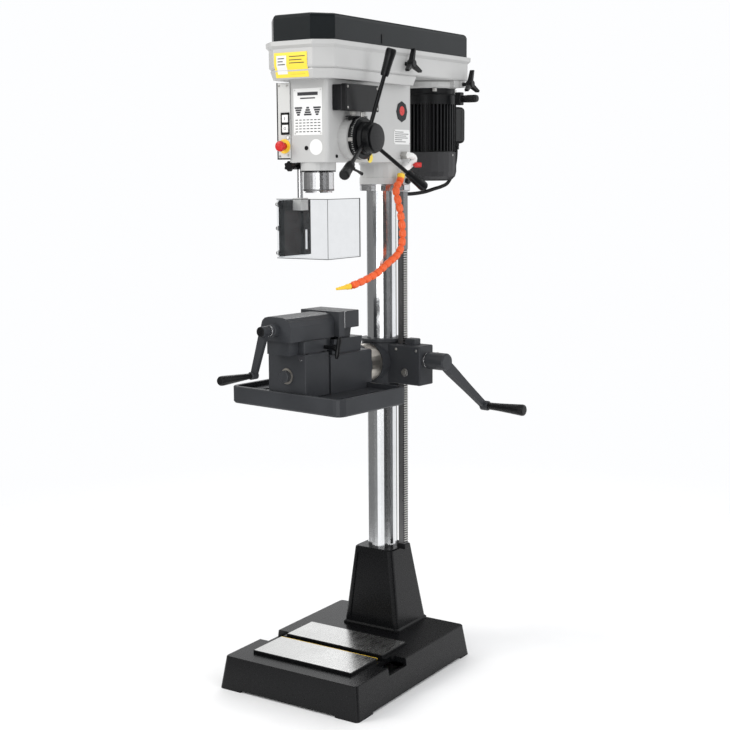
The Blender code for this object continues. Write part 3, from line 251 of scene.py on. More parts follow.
SOFT_EDGES = {"base_casting": 2.2, "column_foot": 2.0, "head_casting": 1.4, "belt_box": 1.2,
              "belt_cover": 1.2, "table_plate": 1.6, "vise_body": 1.8, "vise_ram": 1.6,
              "table_bracket": 1.2, "moving_jaw_plate": 0.6}


def dress_cad():
    """Every CAD node gets its finish, smooth round faces, and a soft edge where it has one."""
    for finish, names in DRESSED.items():
        for name in names:
            node = NODES[name]
            for spot in node.material_slots:
                spot.material = FINISH[finish]
            for face in node.data.polygons:
                face.use_smooth = True
            node.data.set_sharp_from_angle(angle=SHARP)
            if name in SOFT_EDGES:
                soften(node, SOFT_EDGES[name], 38)


def soften(piece, width, angle=35):
    bevel = piece.modifiers.new("edges", 'BEVEL')
    bevel.width = width * MM
    bevel.segments = 2
    bevel.limit_method = 'ANGLE'
    bevel.angle_limit = math.radians(angle)
    bevel.use_clamp_overlap = True
    bevel.harden_normals = False


# ---------------------------------------------------------------- drawing helpers
AXES = {"x": Matrix(((0, 0, 1), (1, 0, 0), (0, 1, 0))).to_4x4(),
        "y": Matrix(((0, 1, 0), (0, 0, 1), (1, 0, 0))).to_4x4(),
        "z": Matrix.Identity(4)}


def circle(radius, count):
    return [(radius * math.cos(2 * math.pi * i / count), radius * math.sin(2 * math.pi * i / count))
            for i in range(count)]


def moved(mesh, change):
    bmesh.ops.transform(mesh, matrix=change, verts=mesh.verts)
    return mesh


def loft(loops):
    """Closed skin over loops of equal length, with a cap at each end."""
    mesh = bmesh.new()
    rings = [[mesh.verts.new(point) for point in loop] for loop in loops]
    count = len(rings[0])
    for low, high in zip(rings, rings[1:]):
        for i in range(count):
            mesh.faces.new((low[i], low[(i + 1) % count], high[(i + 1) % count], high[i]))
    mesh.faces.new(rings[0][::-1])
    mesh.faces.new(rings[-1])
    bmesh.ops.recalc_face_normals(mesh, faces=mesh.faces)
    return mesh


def block(x0, x1, y0, y1, z0, z1):
    corners = ((x0, y0), (x1, y0), (x1, y1), (x0, y1))
    return loft([[(x, y, z) for x, y in corners] for z in (z0, z1)])


def turned(profile, axis="z", centre=(0, 0, 0), facets=FINE, turn=0.0):
    """Solid of revolution from (radius, along) points, closed into a ring if it misses the axis."""
    mesh = bmesh.new()
    rings = []
    for radius, along in profile:
        spots = [(0, 0)] if radius < 1e-6 else circle(radius, facets)
        rings.append([mesh.verts.new((x, y, along)) for x, y in spots])
    pairs = list(zip(rings, rings[1:]))
    if len(rings[0]) > 1:
        pairs.append((rings[-1], rings[0]))
    for low, high in pairs:
        count = max(len(low), len(high))
        for i in range(count if count > 1 else 0):
            j = (i + 1) % count
            corners = [low[i % len(low)], low[j % len(low)], high[j % len(high)],
                       high[i % len(high)]]
            mesh.faces.new([v for k, v in enumerate(corners) if v not in corners[:k]])
    bmesh.ops.recalc_face_normals(mesh, faces=mesh.faces)
    return moved(mesh, Matrix.Translation(centre) @ AXES[axis] @ Matrix.Rotation(turn, 4, 'Z'))


def rod(radius, start, end, axis="z", centre=(0, 0, 0), edge=0.4, facets=32):
    """Round bar with a small chamfer at each end."""
    return turned([(0, start), (radius - edge, start), (radius, start + edge), (radius, end - edge),
                   (radius - edge, end), (0, end)], axis, centre, facets)


def ring(outer, inner, start, end, axis="z", centre=(0, 0, 0), facets=FINE):
    return turned([(inner, start), (outer, start), (outer, end), (inner, end)], axis, centre,
                  facets)


def hexagon(radius, start, end, axis="z", centre=(0, 0, 0), turn=0.0):
    return turned([(0, start), (radius, start), (radius, end), (0, end)], axis, centre, 6, turn)


def cap_screw(centre, axis, sign, radius=4.0, height=4.0):
    """Socket screw whose head stands out of a face."""
    socket = height * 0.45
    profile = [(0, 0), (radius, 0), (radius, sign * (height - 0.5)), (radius - 0.6, sign * height),
               (radius * 0.5, sign * height), (radius * 0.5, sign * socket), (0, sign * socket)]
    return turned(profile, axis, centre, 28)


def joined(shapes):
    whole = bmesh.new()
    for shape in shapes:
        held = bpy.data.meshes.new("held")
        shape.to_mesh(held)
        shape.free()
        whole.from_mesh(held)
        bpy.data.meshes.remove(held)
    return whole


def add(name, shapes, finish, body, edge=0.0, swing=False, stands_for=()):
    """Makes a piece from millimetre shapes, gives it a finish, and lets it ride on a body."""
    mesh = joined(shapes if isinstance(shapes, list) else [shapes])
    change = Matrix.Scale(MM, 4)
    if swing:
        change = change @ Matrix.Rotation(TABLE_SWING, 4, 'Z')
    moved(mesh, change)
    data = bpy.data.meshes.new(name)
    mesh.to_mesh(data)
    mesh.free()
    data.materials.append(FINISH[finish])
    piece = bpy.data.objects.new(name, data)
    bpy.context.scene.collection.objects.link(piece)
    for face in data.polygons:
        face.use_smooth = True
    data.set_sharp_from_angle(angle=SHARP)
    if edge:
        soften(piece, edge)
    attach(piece, body)
    if stands_for:
        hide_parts(*stands_for)
    return piece


# ---------------------------------------------------------------- cords
def smooth_path(points, step):
    """Catmull-Rom curve through the points, sampled about every step millimetres."""
    points = [Vector(p) for p in points]
    last = len(points) - 1
    path = []
    for i in range(last):
        before, a, b, after = points[max(i - 1, 0)], points[i], points[i + 1], points[min(i + 2, last)]
        count = max(2, round((b - a).length / step))
        for k in range(count):
            t = k / count
            path.append(0.5 * (2 * a + (b - before) * t
                               + (2 * before - 5 * a + 4 * b - after) * t * t
                               + (3 * a - before - 3 * b + after) * t ** 3))
    return path + [points[-1]]


def travelled(path):
    """Length of the path up to each of its points."""
    runs = [0.0]
    for a, b in zip(path, path[1:]):
        runs.append(runs[-1] + (b - a).length)
    return runs


def sweep(path, radii, facets=24):
    """Round bar along a path, with its own radius at each point."""
    side = Vector((1, 0, 0))
    loops = []
    for i, point in enumerate(path):
        along = (path[min(i + 1, len(path) - 1)] - path[max(i - 1, 0)]).normalized()
        side = (side - along * side.dot(along)).normalized()
        other = along.cross(side)
        loops.append([tuple(point + side * x + other * y) for x, y in circle(radii[i], facets)])
    return loft(loops)


def hose_radius(run):
    """Ball-and-socket hose: each segment swells out of its neck, runs level, and steps in."""
    share = (run % HOSE_SEGMENT) / HOSE_SEGMENT
    if share < 0.14:
        return HOSE_R - 3.2
    if share < 0.34:
        return HOSE_R - 2.0 + 2.0 * (share - 0.14) / 0.2
    return HOSE_R + 0.4 if share < 0.9 else HOSE_R - 0.6


def cords():
    path = smooth_path(HOSE_ROUTE, 1.6)
    runs = travelled(path)
    hose = add("coolant_hose_segments", sweep(path, [hose_radius(run) for run in runs]), "orange",
               "frame", stands_for=("coolant_hose",))
    turn = (path[3] - path[0]).normalized().to_track_quat('Z', 'Y').to_matrix().to_4x4()
    collar = turned([(0, -3), (8.5, -3), (10.2, -2), (10.2, 7), (9.4, 8), (9.4, 13), (0, 13)],
                    facets=12)
    add("hose_connector", moved(collar, Matrix.Translation(path[0]) @ turn), "yellow", "frame", 0.3)
    path = smooth_path(CABLE_ROUTE, 4)
    runs = travelled(path)
    cable = add("motor_supply_cable", sweep(path, [CABLE_R] * len(path), 20), "rubber", "frame",
                stands_for=("motor_cable",))


# ---------------------------------------------------------------- head
def speed_plate():
    """White plate with three simple pulley shapes over a grid of plain marks."""
    x0, x1, z0, z1 = -39.7, 44.3, 1403.0, 1514.0
    face = HEAD_FRONT - 0.5
    add("speed_plate", block(x0, x1, face, HEAD_FRONT - 0.05, z0, z1), "label", "frame", 0.1)

    def mark(left, right, low, high):
        return block(left, right, face - INK, face, low, high)

    ink = [mark(x0 + 12, x1 - 12, z1 - 17, z1 - 9), mark(x0 + 20, x1 - 20, z1 - 25, z1 - 22)]
    for k, narrows in enumerate((True, False, True)):
        centre = x0 + 14.5 + 27.5 * k
        for step in range(4):
            half = 11.0 - 2.3 * (step if narrows else 3 - step)
            top = z1 - 44 - 5.4 * step
            ink.append(mark(centre - half, centre + half, top - 4.2, top))
    for row in range(5):
        for column in range(7):
            x, z = x0 + 9 + 11 * column, z0 + 8 + 7 * row
            ink.append(mark(x - 3.6, x + 3.6, z - 1.0, z + 1.0))
    add("speed_plate_print", ink, "ink", "frame")
    rivets = [ring(1.6, 0.6, face - 0.4, face, "y", (x, 0, z), 20)
              for x in (x0 + 4, x1 - 4) for z in (z0 + 4, z1 - 4)]
    add("speed_plate_rivets", rivets, "zinc", "frame")


def front_spots():
    """Round label and oil hole under the speed plate."""
    y, hole = HEAD_FRONT, (-3, 0, 1372)
    add("round_label", rod(19, y - 0.5, y - 0.05, "y", (25.4, 0, 1374), 0.1, 48), "label", "frame")
    add("oil_hole", [ring(5.2, 3.4, y - 1.2, y - 0.05, "y", hole, 32),
                     rod(3.4, y - 0.4, y - 0.1, "y", hole, 0.1)], "plastic", "frame")


def nose_face(z):
    """Y of the nose's front, which leans out in two stretches and then runs straight up."""
    for (low, y_low), (high, y_high) in zip(NOSE, NOSE[1:]):
        if z <= high:
            return y_low + (y_high - y_low) * (z - low) / (high - low)
    return NOSE[-1][1]


def wrapped(x0, x1, z0, z1, proud, thick):
    """Thin sheet that follows the nose's front."""
    heights = [z0] + [z for z in NOSE_FOLDS if z0 < z < z1] + [z1]
    outside = [(nose_face(z) - proud - thick, z) for z in heights]
    inside = [(nose_face(z) - proud, z) for z in reversed(heights)]
    return loft([[(x, y, z) for y, z in outside + inside] for x in (x0, x1)])


def nose_sticker():
    """Yellow label with a white inset and plain lines of different lengths."""
    add("nose_sticker", wrapped(-54, 42, 1537, 1595, 0.6, 0.5), "sticker", "frame")
    add("nose_sticker_inset", wrapped(-47, -18, 1545, 1588, 1.1, 0.2), "label", "frame")
    marks = [wrapped(-43, -43 + 21 * share, z, z + 2.2, 1.3, INK)
             for share, z in ((0.9, 1580), (0.7, 1573), (1.0, 1566), (0.6, 1552))]
    marks += [wrapped(-10, -10 + 46 * share, z, z + 2.0, 1.1, INK)
              for share, z in ((1.0, 1584), (0.8, 1576), (0.95, 1569), (0.7, 1551), (0.9, 1544))]
    add("nose_sticker_print", marks, "ink", "frame")


def side_plates():
    """Plain badge and rating plate on the head's right side."""
    x = HEAD_HALF
    badge = rod(27, x + 0.05, x + 1.4, "x", (0, 10, 1468), 0.5, 8)
    add("side_badge", badge, "anthracite", "frame", 0.2)
    spot = rod(12, x + 1.4, x + 1.6, "x", (0, 10, 1470), 0.1, 40)
    add("side_badge_spot", spot, "red", "frame")
    add("rating_plate", block(x + 0.05, x + 0.8, -28, 50, 1384, 1422), "label", "frame", 0.1)
    ink = [block(x + 0.8, x + 0.95, -24, -24 + 70 * share, 1415 - i * 5, 1416.6 - i * 5)
           for i, share in enumerate((0.6, 0.95, 0.8, 0.9, 0.5, 0.75))]
    add("rating_plate_print", ink, "ink", "frame")
    rivets = [cap_screw((x + 0.8, y, z), "x", 1, 1.6, 0.6)
              for y in (-25.5, 47.5) for z in (1386.5, 1419.5)]
    add("plate_rivets", rivets, "zinc", "frame")


def panel_details():
    """Frames, lamp, collar and screws on the control panel, and plain marks on its two buttons."""
    y, button_y = PANEL_FRONT, -337
    bars = ((-75.8, -72.2, 1405, 1458), (-53.3, -49.8, 1405, 1458), (-72.3, -53.2, 1453.2, 1458),
            (-72.3, -53.2, 1405, 1409.8), (-72.3, -53.2, 1429.2, 1433.8))
    add("button_surround", [block(x0, x1, y - 1.6, y - 0.05, z0, z1) for x0, x1, z0, z1 in bars],
        "plastic", "frame", 0.3)
    edges = ((-88, -85, 1345.5, 1529.5), (-88, -49, 1345, 1348.4))
    add("panel_edge", [block(x0, x1, y - 0.6, y + 0.2, z0, z1) for x0, x1, z0, z1 in edges],
        "plastic", "frame", 0.2)
    lamp_at = (-55.5, 0, 1398)
    add("indicator_lamp", ring(5, 3.6, y - 1.5, y - 0.05, "y", lamp_at, 32), "zinc", "frame")
    add("indicator_lens", rod(3.6, y - 2.4, y - 0.1, "y", lamp_at, 0.8), "white", "frame")
    add("stop_collar", ring(17.5, 8.4, y - 2.2, y - 0.05, "y", (-66, 0, 1377)), "yellow", "frame",
        0.3)
    add("panel_screws", [cap_screw((x, y - 0.05, z), "y", -1, 2.6, 1.4) for x, z in
                         ((-80, 1522), (-56, 1522), (-80, 1353), (-55, 1355))], "zinc", "frame")
    add("start_mark", block(-63.6, -62, button_y - 0.25, button_y, 1440, 1447), "ink", "start_push")
    stop_mark = ring(3.4, 2.4, button_y - 0.25, button_y, "y", (-62.8, 0, 1419.5), 28)
    add("stop_mark", stop_mark, "ink", "stop_push")


def junction_details():
    """Lid seam, screws, cable glands and the switch block of the box on the head's side."""
    add("junction_seam", block(84.4, 85.6, -309.4, -166.6, 1460.7, 1522.3), "ink", "frame")
    screws = [cap_screw((JUNCTION_SIDE, y, z), "x", 1, 3.2, 1.0)
              for y in (-303, -173) for z in (1467, 1516)]
    add("junction_screws", screws, "zinc", "frame")
    glands = []
    for y in (-252, -208):
        at = (80, y, 0)
        glands += [hexagon(7.5, 1452, 1459.3, "z", at), rod(6, 1444, 1452, "z", at, 0.8),
                   hexagon(7, 1446, 1449, "z", at, 0.4)]
    add("cable_glands", glands, "zinc", "frame", 0.2)
    add("limit_switch", [block(70, 86.5, -270, -196, 1446.3, 1449),
                         block(72, 86, -262, -200, 1436, 1446.3)], "plastic", "frame", 0.6)


def head_details():
    speed_plate()
    front_spots()
    nose_sticker()
    side_plates()
    panel_details()
    junction_details()
    spindle, lock, clamp = (0, SPINDLE_Y, 0), (46, -205, 0), (0, 70, 1290)
    add("quill_gap", ring(42.6, 38.2, 1314.6, 1318, "z", spindle), "plastic", "frame")
    add("quill_lower_ring", ring(38.1, 37.8, 1269, 1273, "z", spindle), "dark_steel", "quill")
    handle = [Vector(spot) for spot in ((46, -205, 1322), (46, -182, 1316), (45, -160, 1309))]
    add("quill_lock", [rod(5, 1324, 1337.6, "z", lock, 0.8), rod(7.5, 1319, 1326, "z", lock, 1.2),
                       sweep(handle, [3.2, 3.2, 4.6], 20)], "plastic", "frame", 0.3)
    add("head_clamp_screw", [rod(7, 34.9, 38, "x", clamp, 0.6), hexagon(9, 38, 45, "x", clamp, 0.3)],
        "plastic", "frame", 0.4)
    side_screws = [cap_screw((HEAD_HALF, y, 1352), "x", 1, 4.2, 2.2) for y in (-292, -50)]
    add("head_side_screws", side_screws, "plastic", "frame")
    add("column_ring", ring(*NECK_RING, 1331.5, 1335), "light", "frame", 0.3)
    hinges = [rod(3.0, y - 22, y + 22, "y", (HINGE_X, 0, HINGE_Z), 0.4) for y in (-210, 150)]
    add("cover_hinges", hinges, "zinc", "cover")
    add("cover_latch", block(92.95, 94.6, -141, -136, 1628, 1650), "plastic", "cover", 0.5)


# ---------------------------------------------------------------- feed
def depth_ticks(at):
    """Lines round the depth ring, every fifth one longer."""
    ticks = []
    for i in range(60):
        length = 7.0 if i % 5 == 0 else 4.0
        change = Matrix.Translation(at) @ Matrix.Rotation(2 * math.pi * i / 60, 4, 'X')
        ticks.append(moved(block(102.6 - length, 102.6, -0.28, 0.28, 51.0, 51.25), change))
    return ticks


def feed_handle(index, at):
    """Straight arm from the hub that swells into a ribbed grip."""
    angle = math.radians(5 + 120 * index)
    out = Vector((0, math.sin(angle), math.cos(angle)))
    start = Vector((118, *at[1:])) + out * 24.0
    end = Vector((172, *at[1:])) + out * 212.0
    along, reach = (end - start).normalized(), (end - start).length
    shape = [(0, 5.0), (128, 5.0), (128.5, 9), (132, 10.2), (138, 10.6), (150, 10.4), (165, 11.2),
             (180, 12.6), (188, 13.0), (reach - 2.5, 12.0), (reach, 9.5)]
    arm = sweep([start + along * s for s, _ in shape], [radius for _, radius in shape], 40)
    add(f"feed_handle_{index + 1}", arm, "plastic", "feed", stands_for=(f"feed_lever_{index + 1}",))
    ribs = [sweep([start + along * s, start + along * (s + 1.4)], [11.4 + 0.09 * k] * 2, 40)
            for k, s in enumerate(range(145, 181, 4))]
    add(f"feed_handle_ribs_{index + 1}", ribs, "grip", "feed")


def feed_details():
    at = (0, FEED_Y, FEED_Z)
    add("feed_boss_ring", ring(49.6, 46, 80.5, 83.5, "x", at), "light", "frame", 0.4)
    add("depth_scale", depth_ticks(at), "label", "depth_stop")
    add("depth_ring_knurl", ring(51.5, 50, 90.0, 92.5, "x", at), "plastic", "depth_stop", 0.3)
    add("depth_stop_screw", rod(4.5, 50.8, 62, "z", (97, FEED_Y, FEED_Z), 0.8), "zinc",
        "depth_stop")
    pointer = loft([[(x, -206, 1357), (x, -188, 1357), (x, -197, 1340)] for x in (87.4, 90)])
    add("depth_pointer", pointer, "plastic", "frame", 0.4)
    add("pointer_label", rod(13, 87.1, 87.5, "x", (0, -188, 1349), 0.1, 40), "sticker", "frame")
    disc = turned([(0, 139.05), (33, 139.05), (34, 140), (32.5, 141.8), (20, 143), (0, 143.4)],
                  "x", at)
    add("hub_disc", disc, "plastic", "feed")
    add("depth_ring_mark", block(90, 103, FEED_Y - 52.2, FEED_Y - 50.6, 1387, 1396), "zinc",
        "depth_stop", 0.3)
    grooves = [ring(37.4, 36, x, x + 1.2, "x", at) for x in (123, 126, 129)]
    add("hub_grooves", grooves, "plastic", "feed", 0.2)
    for index in range(3):
        feed_handle(index, at)


# ---------------------------------------------------------------- motor and tension
def fin_outline(inner, outer, fins=46):
    """Outline of the motor's housing from above, with a ridge for each cooling fin."""
    points = []
    for i in range(fins):
        for share, radius in ((-0.2, outer), (0.2, outer), (0.26, inner), (0.74, inner)):
            angle = 2 * math.pi * (i + share) / fins
            points.append((radius * math.cos(angle), MOTOR_Y + radius * math.sin(angle)))
    return points


def motor_details():
    finned, plain, lip = (fin_outline(*radii) for radii in
                          ((MOTOR_R - 9, MOTOR_R), (MOTOR_R, MOTOR_R), (76, 76)))
    levels = ((lip, 1366.4), (lip, 1369), (finned, 1369.2), (finned, 1494), (plain, 1495),
              (plain, 1519), (lip, 1524), (lip, 1537))
    housing = loft([[(x, y, z) for x, y in outline] for outline, z in levels])
    seat = block(-33, 33, MOTOR_Y + 62, MOTOR_Y + 81, 1398, 1490)
    add("motor_housing", [housing, seat], "motor", "motor", stands_for=("motor_body",))
    box_y, gland = MOTOR_Y + 81.3, (20, 368, 0)
    add("terminal_box_seam", block(-40.6, 40.6, box_y + 40, box_y + 41.5, 1403, 1483), "plastic",
        "motor")
    lid_screws = [cap_screw((x, box_y + 68.5, z), "y", 1, 3.4, 1.4)
                  for x in (-27, 27) for z in (1405, 1481)]
    add("terminal_screws", lid_screws, "zinc", "motor")
    add("cable_gland", [hexagon(10, 1384, 1391.6, "z", gland), rod(8.4, 1375, 1384, "z", gland, 1.2)],
        "plastic", "motor", 0.3)
    corners = (math.pi / 4 + k * math.pi / 2 for k in range(4))
    bolts = [hexagon(7, 1528, 1536.5, "z", (77 * math.cos(a), MOTOR_Y + 77 * math.sin(a), 0), 0.3)
             for a in corners]
    add("motor_bolts", bolts, "zinc", "motor", 0.3)
    vents = [ring(radius, radius - 2.2, 1288.4, 1289.2, "z", (0, MOTOR_Y, 0))
             for radius in (24, 34, 44, 54)]
    add("fan_grille", vents, "plastic", "motor")
    add("fan_cover_screws", cap_screw((81, MOTOR_Y, 1358), "x", 1, 3, 1.0), "zinc", "motor")
    grip = turned([(0, 108), (7, 108), (9.4, 112), (10.2, 130), (10.2, 150), (8.4, 157),
                   (0, 158.4)], "x", (0, MOTOR_Y, 1508))
    add("lever_grip", grip, "grip", "tension_arm")


# ---------------------------------------------------------------- guard and coolant
def guard_details():
    heights, face_x, fixing_y = (1236, 1177, 1116), -94.3, -328.4
    washers = [rod(6.4, face_x, -93.05, "x", (0, fixing_y, z), 0.2) for z in heights]
    add("guard_washers", washers, "white", "guard")
    screws = [cap_screw((face_x, fixing_y, z), "x", -1, 4.4, 4.6) for z in heights]
    add("guard_screws", screws, "plastic", "guard")
    add("guard_seal", block(-89.6, -73, -331.6, -330.2, 1108, 1246), "plastic", "guard", 0.2)
    low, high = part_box("guard_screen")
    x0, y0, z0, x1, y1, z1 = (c / MM for c in (*low, *high))
    edges = []
    for low_z, high_z in ((z0 - 0.8, z0 + 0.9), (z1 - 0.9, z1 + 0.8)):
        edges.append(block(x0 - 0.3, x1 + 0.3, y0 - 0.5, y0 + 0.4, low_z, high_z))
        edges.append(block(x1 - 0.4, x1 + 0.5, y0, y1, low_z, high_z))
    edges.append(block(x1 - 2.6, x1 + 0.2, y1, y1 + 0.9, z0, z1))
    edges.append(block(x1 - 0.7, x1 + 0.4, y0 - 0.4, y0 + 0.5, z0, z1))
    add("guard_screen_edges", edges, "shade", "guard")
    shell = block(-88.1, -61.6, -275.4, -244.6, 1219.6, 1250.4)
    add("guard_clamp_shell", shell, "panel", "guard", 1.2)
    rod_top = turned([(0, 1345), (7.4, 1345), (7.4, 1348), (6, 1349), (0, 1349)], "z",
                     (-75, -260, 0))
    add("guard_rod_top", rod_top, "plastic", "guard_post")


def coolant_details():
    at = (0, 12, 1356)
    add("valve_fitting", [hexagon(11, HEAD_HALF + 0.3, 65, "x", at), rod(9.8, 65, 76, "x", at, 0.8)],
        "zinc", "frame", 0.4)
    ribs = [block(96.2, 103.6, y, y + 1.6, 1324.4, 1337.6) for y in range(11, 32, 5)]
    add("valve_handle_ribs", ribs, "red", "valve", 0.3)


# ---------------------------------------------------------------- base and table group
def base_details():
    """Ground faces of the two work pads and the painted line along the slot between them."""
    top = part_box("base_casting")[1][2] / MM
    add("front_pad_face", block(-150, 150, -387, -270, top - 0.2, top + 0.25), "ground", "frame")
    add("slot_edge_line", block(-150.5, 150.5, -267.9, -266.4, top - 5, top - 0.4), "yellow",
        "frame")
    add("rear_pad_face", block(-149.5, 149.5, -241.5, -130.5, top - 0.2, top + 0.25), "ground",
        "frame")


def column_details():
    """Upper collar lip; rack teeth with painted highlight on tips and painted shade in roots."""
    add("collar_upper_lip", ring(57.2, 55, 1278.5, 1281.5), "steel", "rack_ring", 0.3)
    add("rack_foot_block", block(60, 86, -11, 11, RACK_LOW, 320), "plastic", "rack_ring", 0.8,
        swing=True)
    root, tip = RACK_OUT - 2.6, RACK_OUT - 0.05
    count = int((RACK_TEETH_TOP - RACK_TEETH_LOW) / RACK_PITCH)
    outline = [(RACK_IN, RACK_LOW), (tip, RACK_LOW)]
    for i in range(count):
        z = RACK_TEETH_LOW + (i + 0.5) * RACK_PITCH
        outline += [(tip, z - 0.32 * RACK_PITCH), (root, z - 0.18 * RACK_PITCH),
                    (root, z + 0.18 * RACK_PITCH), (tip, z + 0.32 * RACK_PITCH)]
    outline += [(tip, RACK_HIGH), (RACK_IN, RACK_HIGH)]
    teeth = loft([[(x, y, z) for x, z in outline] for y in (-8.95, 8.95)])
    # The rack's strip takes the darkened steel: painted shade for the column's shadow.
    add("rack_strip", teeth, "dark_steel", "rack_ring", swing=True, stands_for=("column_rack",))
    # Bright strips on the tooth tips: painted highlight where the tips catch the light.
    tip_highlights = []
    for i in range(1, count):
        z = RACK_TEETH_LOW + i * RACK_PITCH
        tip_highlights.append(block(tip, tip + 0.2, -8.6, 8.6, z - 1.5, z + 1.5))
    add("rack_tooth_tip_highlights", tip_highlights, "zinc", "rack_ring", swing=True)
    # Black strip down the roots between the teeth: painted shade in the tooth gaps.
    root_shade = block(root - 0.3, root + 0.35, -8.98, 8.98, RACK_TEETH_LOW, RACK_TEETH_TOP - 4)
    add("rack_root_painted_shade", root_shade, "plastic", "rack_ring", swing=True)


def bracket_details():
    end_cap = [rod(10.5, -31.2, -29.2, "y", (100.75, 0, 792), 0.6),
               cap_screw((100.75, -31.2, 792), "y", -1, 5, 1.2)]
    add("gear_end_cap", end_cap, "zinc", "lift_gear", swing=True)
    add("bracket_screws", [cap_screw((x, -29.1, 852), "y", -1, 3.6, 1.6) for x in (72, 138)],
        "zinc", "table_arm", swing=True)
    add("crank_collar", ring(20.2, 12, 150.6, 156.4, "x", (0, 0, CRANK_Z)), "steel", "lift_crank",
        0.5, swing=True)
    add("crank_set_screw", cap_screw((186, 0, CRANK_Z + 22.2), "z", 1, 3.4, 1.4), "zinc",
        "lift_crank", swing=True)
    handle = turned([(0, 240.5), (8, 240.5), (9.6, 245), (9.8, 256), (10.6, 275), (12.4, 305),
                     (14.4, 335), (15.2, 346), (14.4, 350.5), (11, 353), (0, 353.6)],
                    "x", (0, 157, CRANK_Z - 134))
    add("crank_handle", handle, "grip", "lift_grip", swing=True, stands_for=("lift_crank_grip",))


def tilt_details():
    """Scale and seam where the vise tilts, and the plug at its front."""
    tilt = (0, 0, TILT_Z)
    ticks = []
    for i in range(-9, 10):
        length = 7 if i % 3 == 0 else 4.5
        change = Matrix.Translation(tilt) @ Matrix.Rotation(math.radians(5 * i), 4, 'Y')
        ticks.append(moved(block(-0.35, 0.35, -99, -99 + length, 50.45, 50.75), change))
    add("tilt_scale", ticks, "ink", "vise", swing=True)
    add("tilt_seam", ring(50.9, 49.5, -104.6, -101.6, "y", tilt), "plastic", "vise", swing=True)
    add("front_plug_ring", ring(17.8, 15.5, -374.2, -373.1, "y", tilt), "steel", "vise", 0.2,
        swing=True)
    cap = turned([(0, -387), (12.6, -387), (15.3, -384.4), (15.3, -374.6), (14.8, -374.6),
                  (14.8, -383.3), (12.6, -385.3), (0, -385.3)], "y", tilt)
    add("front_plug_cap", cap, "charcoal", "vise", swing=True)


def jaw_details():
    """Jaw face and screws, and the screw's collar, end and crank handle."""
    screw = (0, 0, SCREW_Z)
    add("jaw_face", block(-64.6, 64.6, -227.05, -219.5, 926, 967.6), "steel", "vise", 0.3,
        swing=True)
    add("fixed_jaw_screws", [cap_screw((x, -171, 948), "y", 1, 5, 2) for x in (-36, 36)], "zinc",
        "vise", swing=True)
    add("screw_collar", ring(13.6, 9.4, -436, -429, "y", screw), "steel", "screw", 0.4, swing=True)
    add("screw_end", [rod(12.2, -465.5, -462.1, "y", screw, 1.2),
                      cap_screw((0, -465.4, SCREW_Z), "y", -1, 4.4, 1.6)],
        "plastic", "screw", 0.3, swing=True)
    handle = turned([(0, -567), (9, -566.4), (11.4, -563), (12, -556), (11, -536), (9, -500),
                     (7.8, -480), (7.4, -470), (6.6, -464), (0, -463.8)],
                    "y", (-38, 0, SCREW_Z - 111))
    add("vise_handle", handle, "grip", "screw_grip", swing=True, stands_for=("vise_crank_grip",))


def vise_details():
    tilt_details()
    jaw_details()
    wing = sweep([Vector(spot) for spot in
                  ((97, -297.5, 858), (98, -295.5, 866), (98, -292, 884), (99, -288.5, 902),
                   (99, -286.5, 910))], [3.2, 6.4, 5.2, 6.4, 3.2])
    pivot = (0, -292, 884)
    add("tilt_wing_lever", [rod(5, 50.2, 92, "x", pivot), rod(9, 86, 97, "x", pivot, 1.2), wing],
        "plastic", "jaw_lock", 0.3, swing=True, stands_for=("tilt_lock_lever",))
    # Dark strips along the steps of the vise's front block: painted shadow above and below the step.
    step_shadows = [block(-55.5, 55.5, -368.5, -366, z0, z1) for z0, z1 in ((873.1, 875.0), (902.6, 904.3))]
    step_shadows += [block(x - 0.7, x + 0.7, -366, -286, 873.1, 875.0) for x in (-54.8, 54.8)]
    add("vise_step_painted_shadow", step_shadows, "ink", "vise", swing=True)
    add("vise_notch", block(40, 58, -373.5, -372.8, 857, 869), "ink", "vise", 0.2, swing=True)
    add("vise_notch_floor", block(42, 52, -373.9, -373.4, 857.5, 860.5), "steel", "vise", 0.2,
        swing=True)
    slots = [block(x - 6.4, x + 6.4, -346, -167, 733.5, 734.5) for x in (-128, 128)]
    add("table_tray_slots", slots, "ink", "vise", swing=True)
    hold_screws = [cap_screw((x, y, 873.1), "z", 1, 4.2, 1.6) for x in (-56, 56) for y in (-300, -360)]
    add("vise_hold_screws", hold_screws, "plastic", "vise", swing=True)


# ---------------------------------------------------------------- room and camera
def lamp(name, place, target, size, power, colour):
    data = bpy.data.lights.new(name, 'AREA')
    data.shape = 'RECTANGLE'
    data.size, data.size_y = size
    data.energy = power
    data.color = colour
    made = bpy.data.objects.new(name, data)
    made.location = place
    made.rotation_euler = (Vector(target) - Vector(place)).to_track_quat('-Z', 'Y').to_euler()
    bpy.context.scene.collection.objects.link(made)


def paper(name):
    """Pale paper that runs out into the pale surroundings, so that it has no horizon."""
    made = surface(name, (0.86, 0.86, 0.86), (0.6, 0.7), grain=60, bump=0.02, change=0.01)
    nodes, links = made.node_tree.nodes, made.node_tree.links
    place = nodes.new("ShaderNodeTexCoord")
    away = nodes.new("ShaderNodeVectorMath")
    away.operation = 'LENGTH'
    fade = nodes.new("ShaderNodeMapRange")
    fade.interpolation_type = 'SMOOTHSTEP'
    fade.inputs["From Min"].default_value, fade.inputs["From Max"].default_value = FLOOR_FADE
    through = nodes.new("ShaderNodeBsdfTransparent")
    blend = nodes.new("ShaderNodeMixShader")
    links.new(place.outputs["Object"], away.inputs[0])
    links.new(away.outputs["Value"], fade.inputs["Value"])
    links.new(fade.outputs["Result"], blend.inputs["Fac"])
    links.new(nodes["Principled BSDF"].outputs["BSDF"], blend.inputs[1])
    links.new(through.outputs["BSDF"], blend.inputs[2])
    links.new(blend.outputs["Shader"], nodes["Material Output"].inputs["Surface"])
    return made


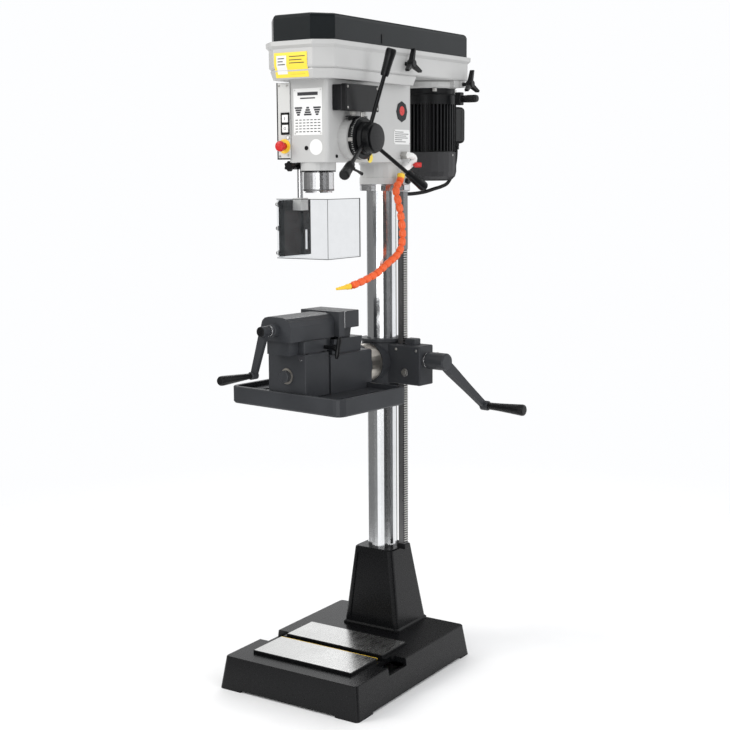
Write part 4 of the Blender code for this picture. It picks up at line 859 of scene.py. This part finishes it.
def sheet(name, corners, material):
    """Flat sheet of the studio, in metres, that is no part of the machine."""
    mesh = bpy.data.meshes.new(name)
    mesh.from_pydata(corners, [], [(0, 1, 2, 3)])
    mesh.materials.append(material)
    made = bpy.data.objects.new(name, mesh)
    bpy.context.scene.collection.objects.link(made)
    return made


def card(name, start, end, tone):
    """Tall card beside the machine, seen only in reflections, so polished metal has contrast."""
    made, _, _, body = shader(name)
    body.inputs["Base Color"].default_value = (0, 0, 0, 1)
    body.inputs["Roughness"].default_value = 1.0
    body.inputs["Specular IOR Level"].default_value = 0.0
    body.inputs["Emission Color"].default_value = (tone, tone, tone, 1)
    body.inputs["Emission Strength"].default_value = 1.0
    spots = []
    for angle in (start, end):
        turn = math.radians(CAMERA_AZIMUTH - 90 + angle)
        spots.append((CARD_REACH * math.cos(turn), CARD_REACH * math.sin(turn)))
    corners = [(*spots[0], CARD_FOOT), (*spots[1], CARD_FOOT), (*spots[1], CARD_TOP),
               (*spots[0], CARD_TOP)]
    flag = sheet(name, corners, made)
    flag.visible_camera = flag.visible_diffuse = False
    flag.visible_shadow = flag.visible_transmission = False


def room():
    corners = [(x * FLOOR_REACH, y * FLOOR_REACH, 0) for x, y in ((-1, -1), (1, -1), (1, 1), (-1, 1))]
    sheet("studio_floor", corners, paper("studio_paper"))
    for name, start, end, tone in CARDS:
        card(name, start, end, tone)
    world = bpy.data.worlds.new("studio")
    world.use_nodes = True
    world.node_tree.nodes["Background"].inputs["Color"].default_value = (0.985, 0.99, 1.0, 1)
    world.node_tree.nodes["Background"].inputs["Strength"].default_value = 1.0
    bpy.context.scene.world = world
    for settings in LAMPS:
        lamp(*settings)
    bpy.context.scene.view_settings.view_transform = 'Standard'


def camera():
    azimuth, pitch, roll = (math.radians(v) for v in (CAMERA_AZIMUTH, CAMERA_PITCH, CAMERA_ROLL))
    ahead = Vector((-math.sin(azimuth) * math.cos(pitch), math.cos(azimuth) * math.cos(pitch),
                    -math.sin(pitch)))
    level = Vector((math.cos(azimuth), math.sin(azimuth), 0))
    upright = level.cross(ahead)
    right = level * math.cos(roll) + upright * math.sin(roll)
    up = upright * math.cos(roll) - level * math.sin(roll)
    data = bpy.data.cameras.new("camera")
    data.lens = CAMERA_LENS
    data.sensor_width = 36.0
    made = bpy.data.objects.new("camera", data)
    turn = Matrix((right, up, -ahead)).transposed().to_4x4()
    made.matrix_world = Matrix.Translation(CAMERA_PLACE) @ turn
    bpy.context.scene.collection.objects.link(made)
    bpy.context.scene.camera = made


camera()
cords()
dress_cad()
head_details()
feed_details()
motor_details()
guard_details()
coolant_details()
base_details()
column_details()
bracket_details()
vise_details()
room()
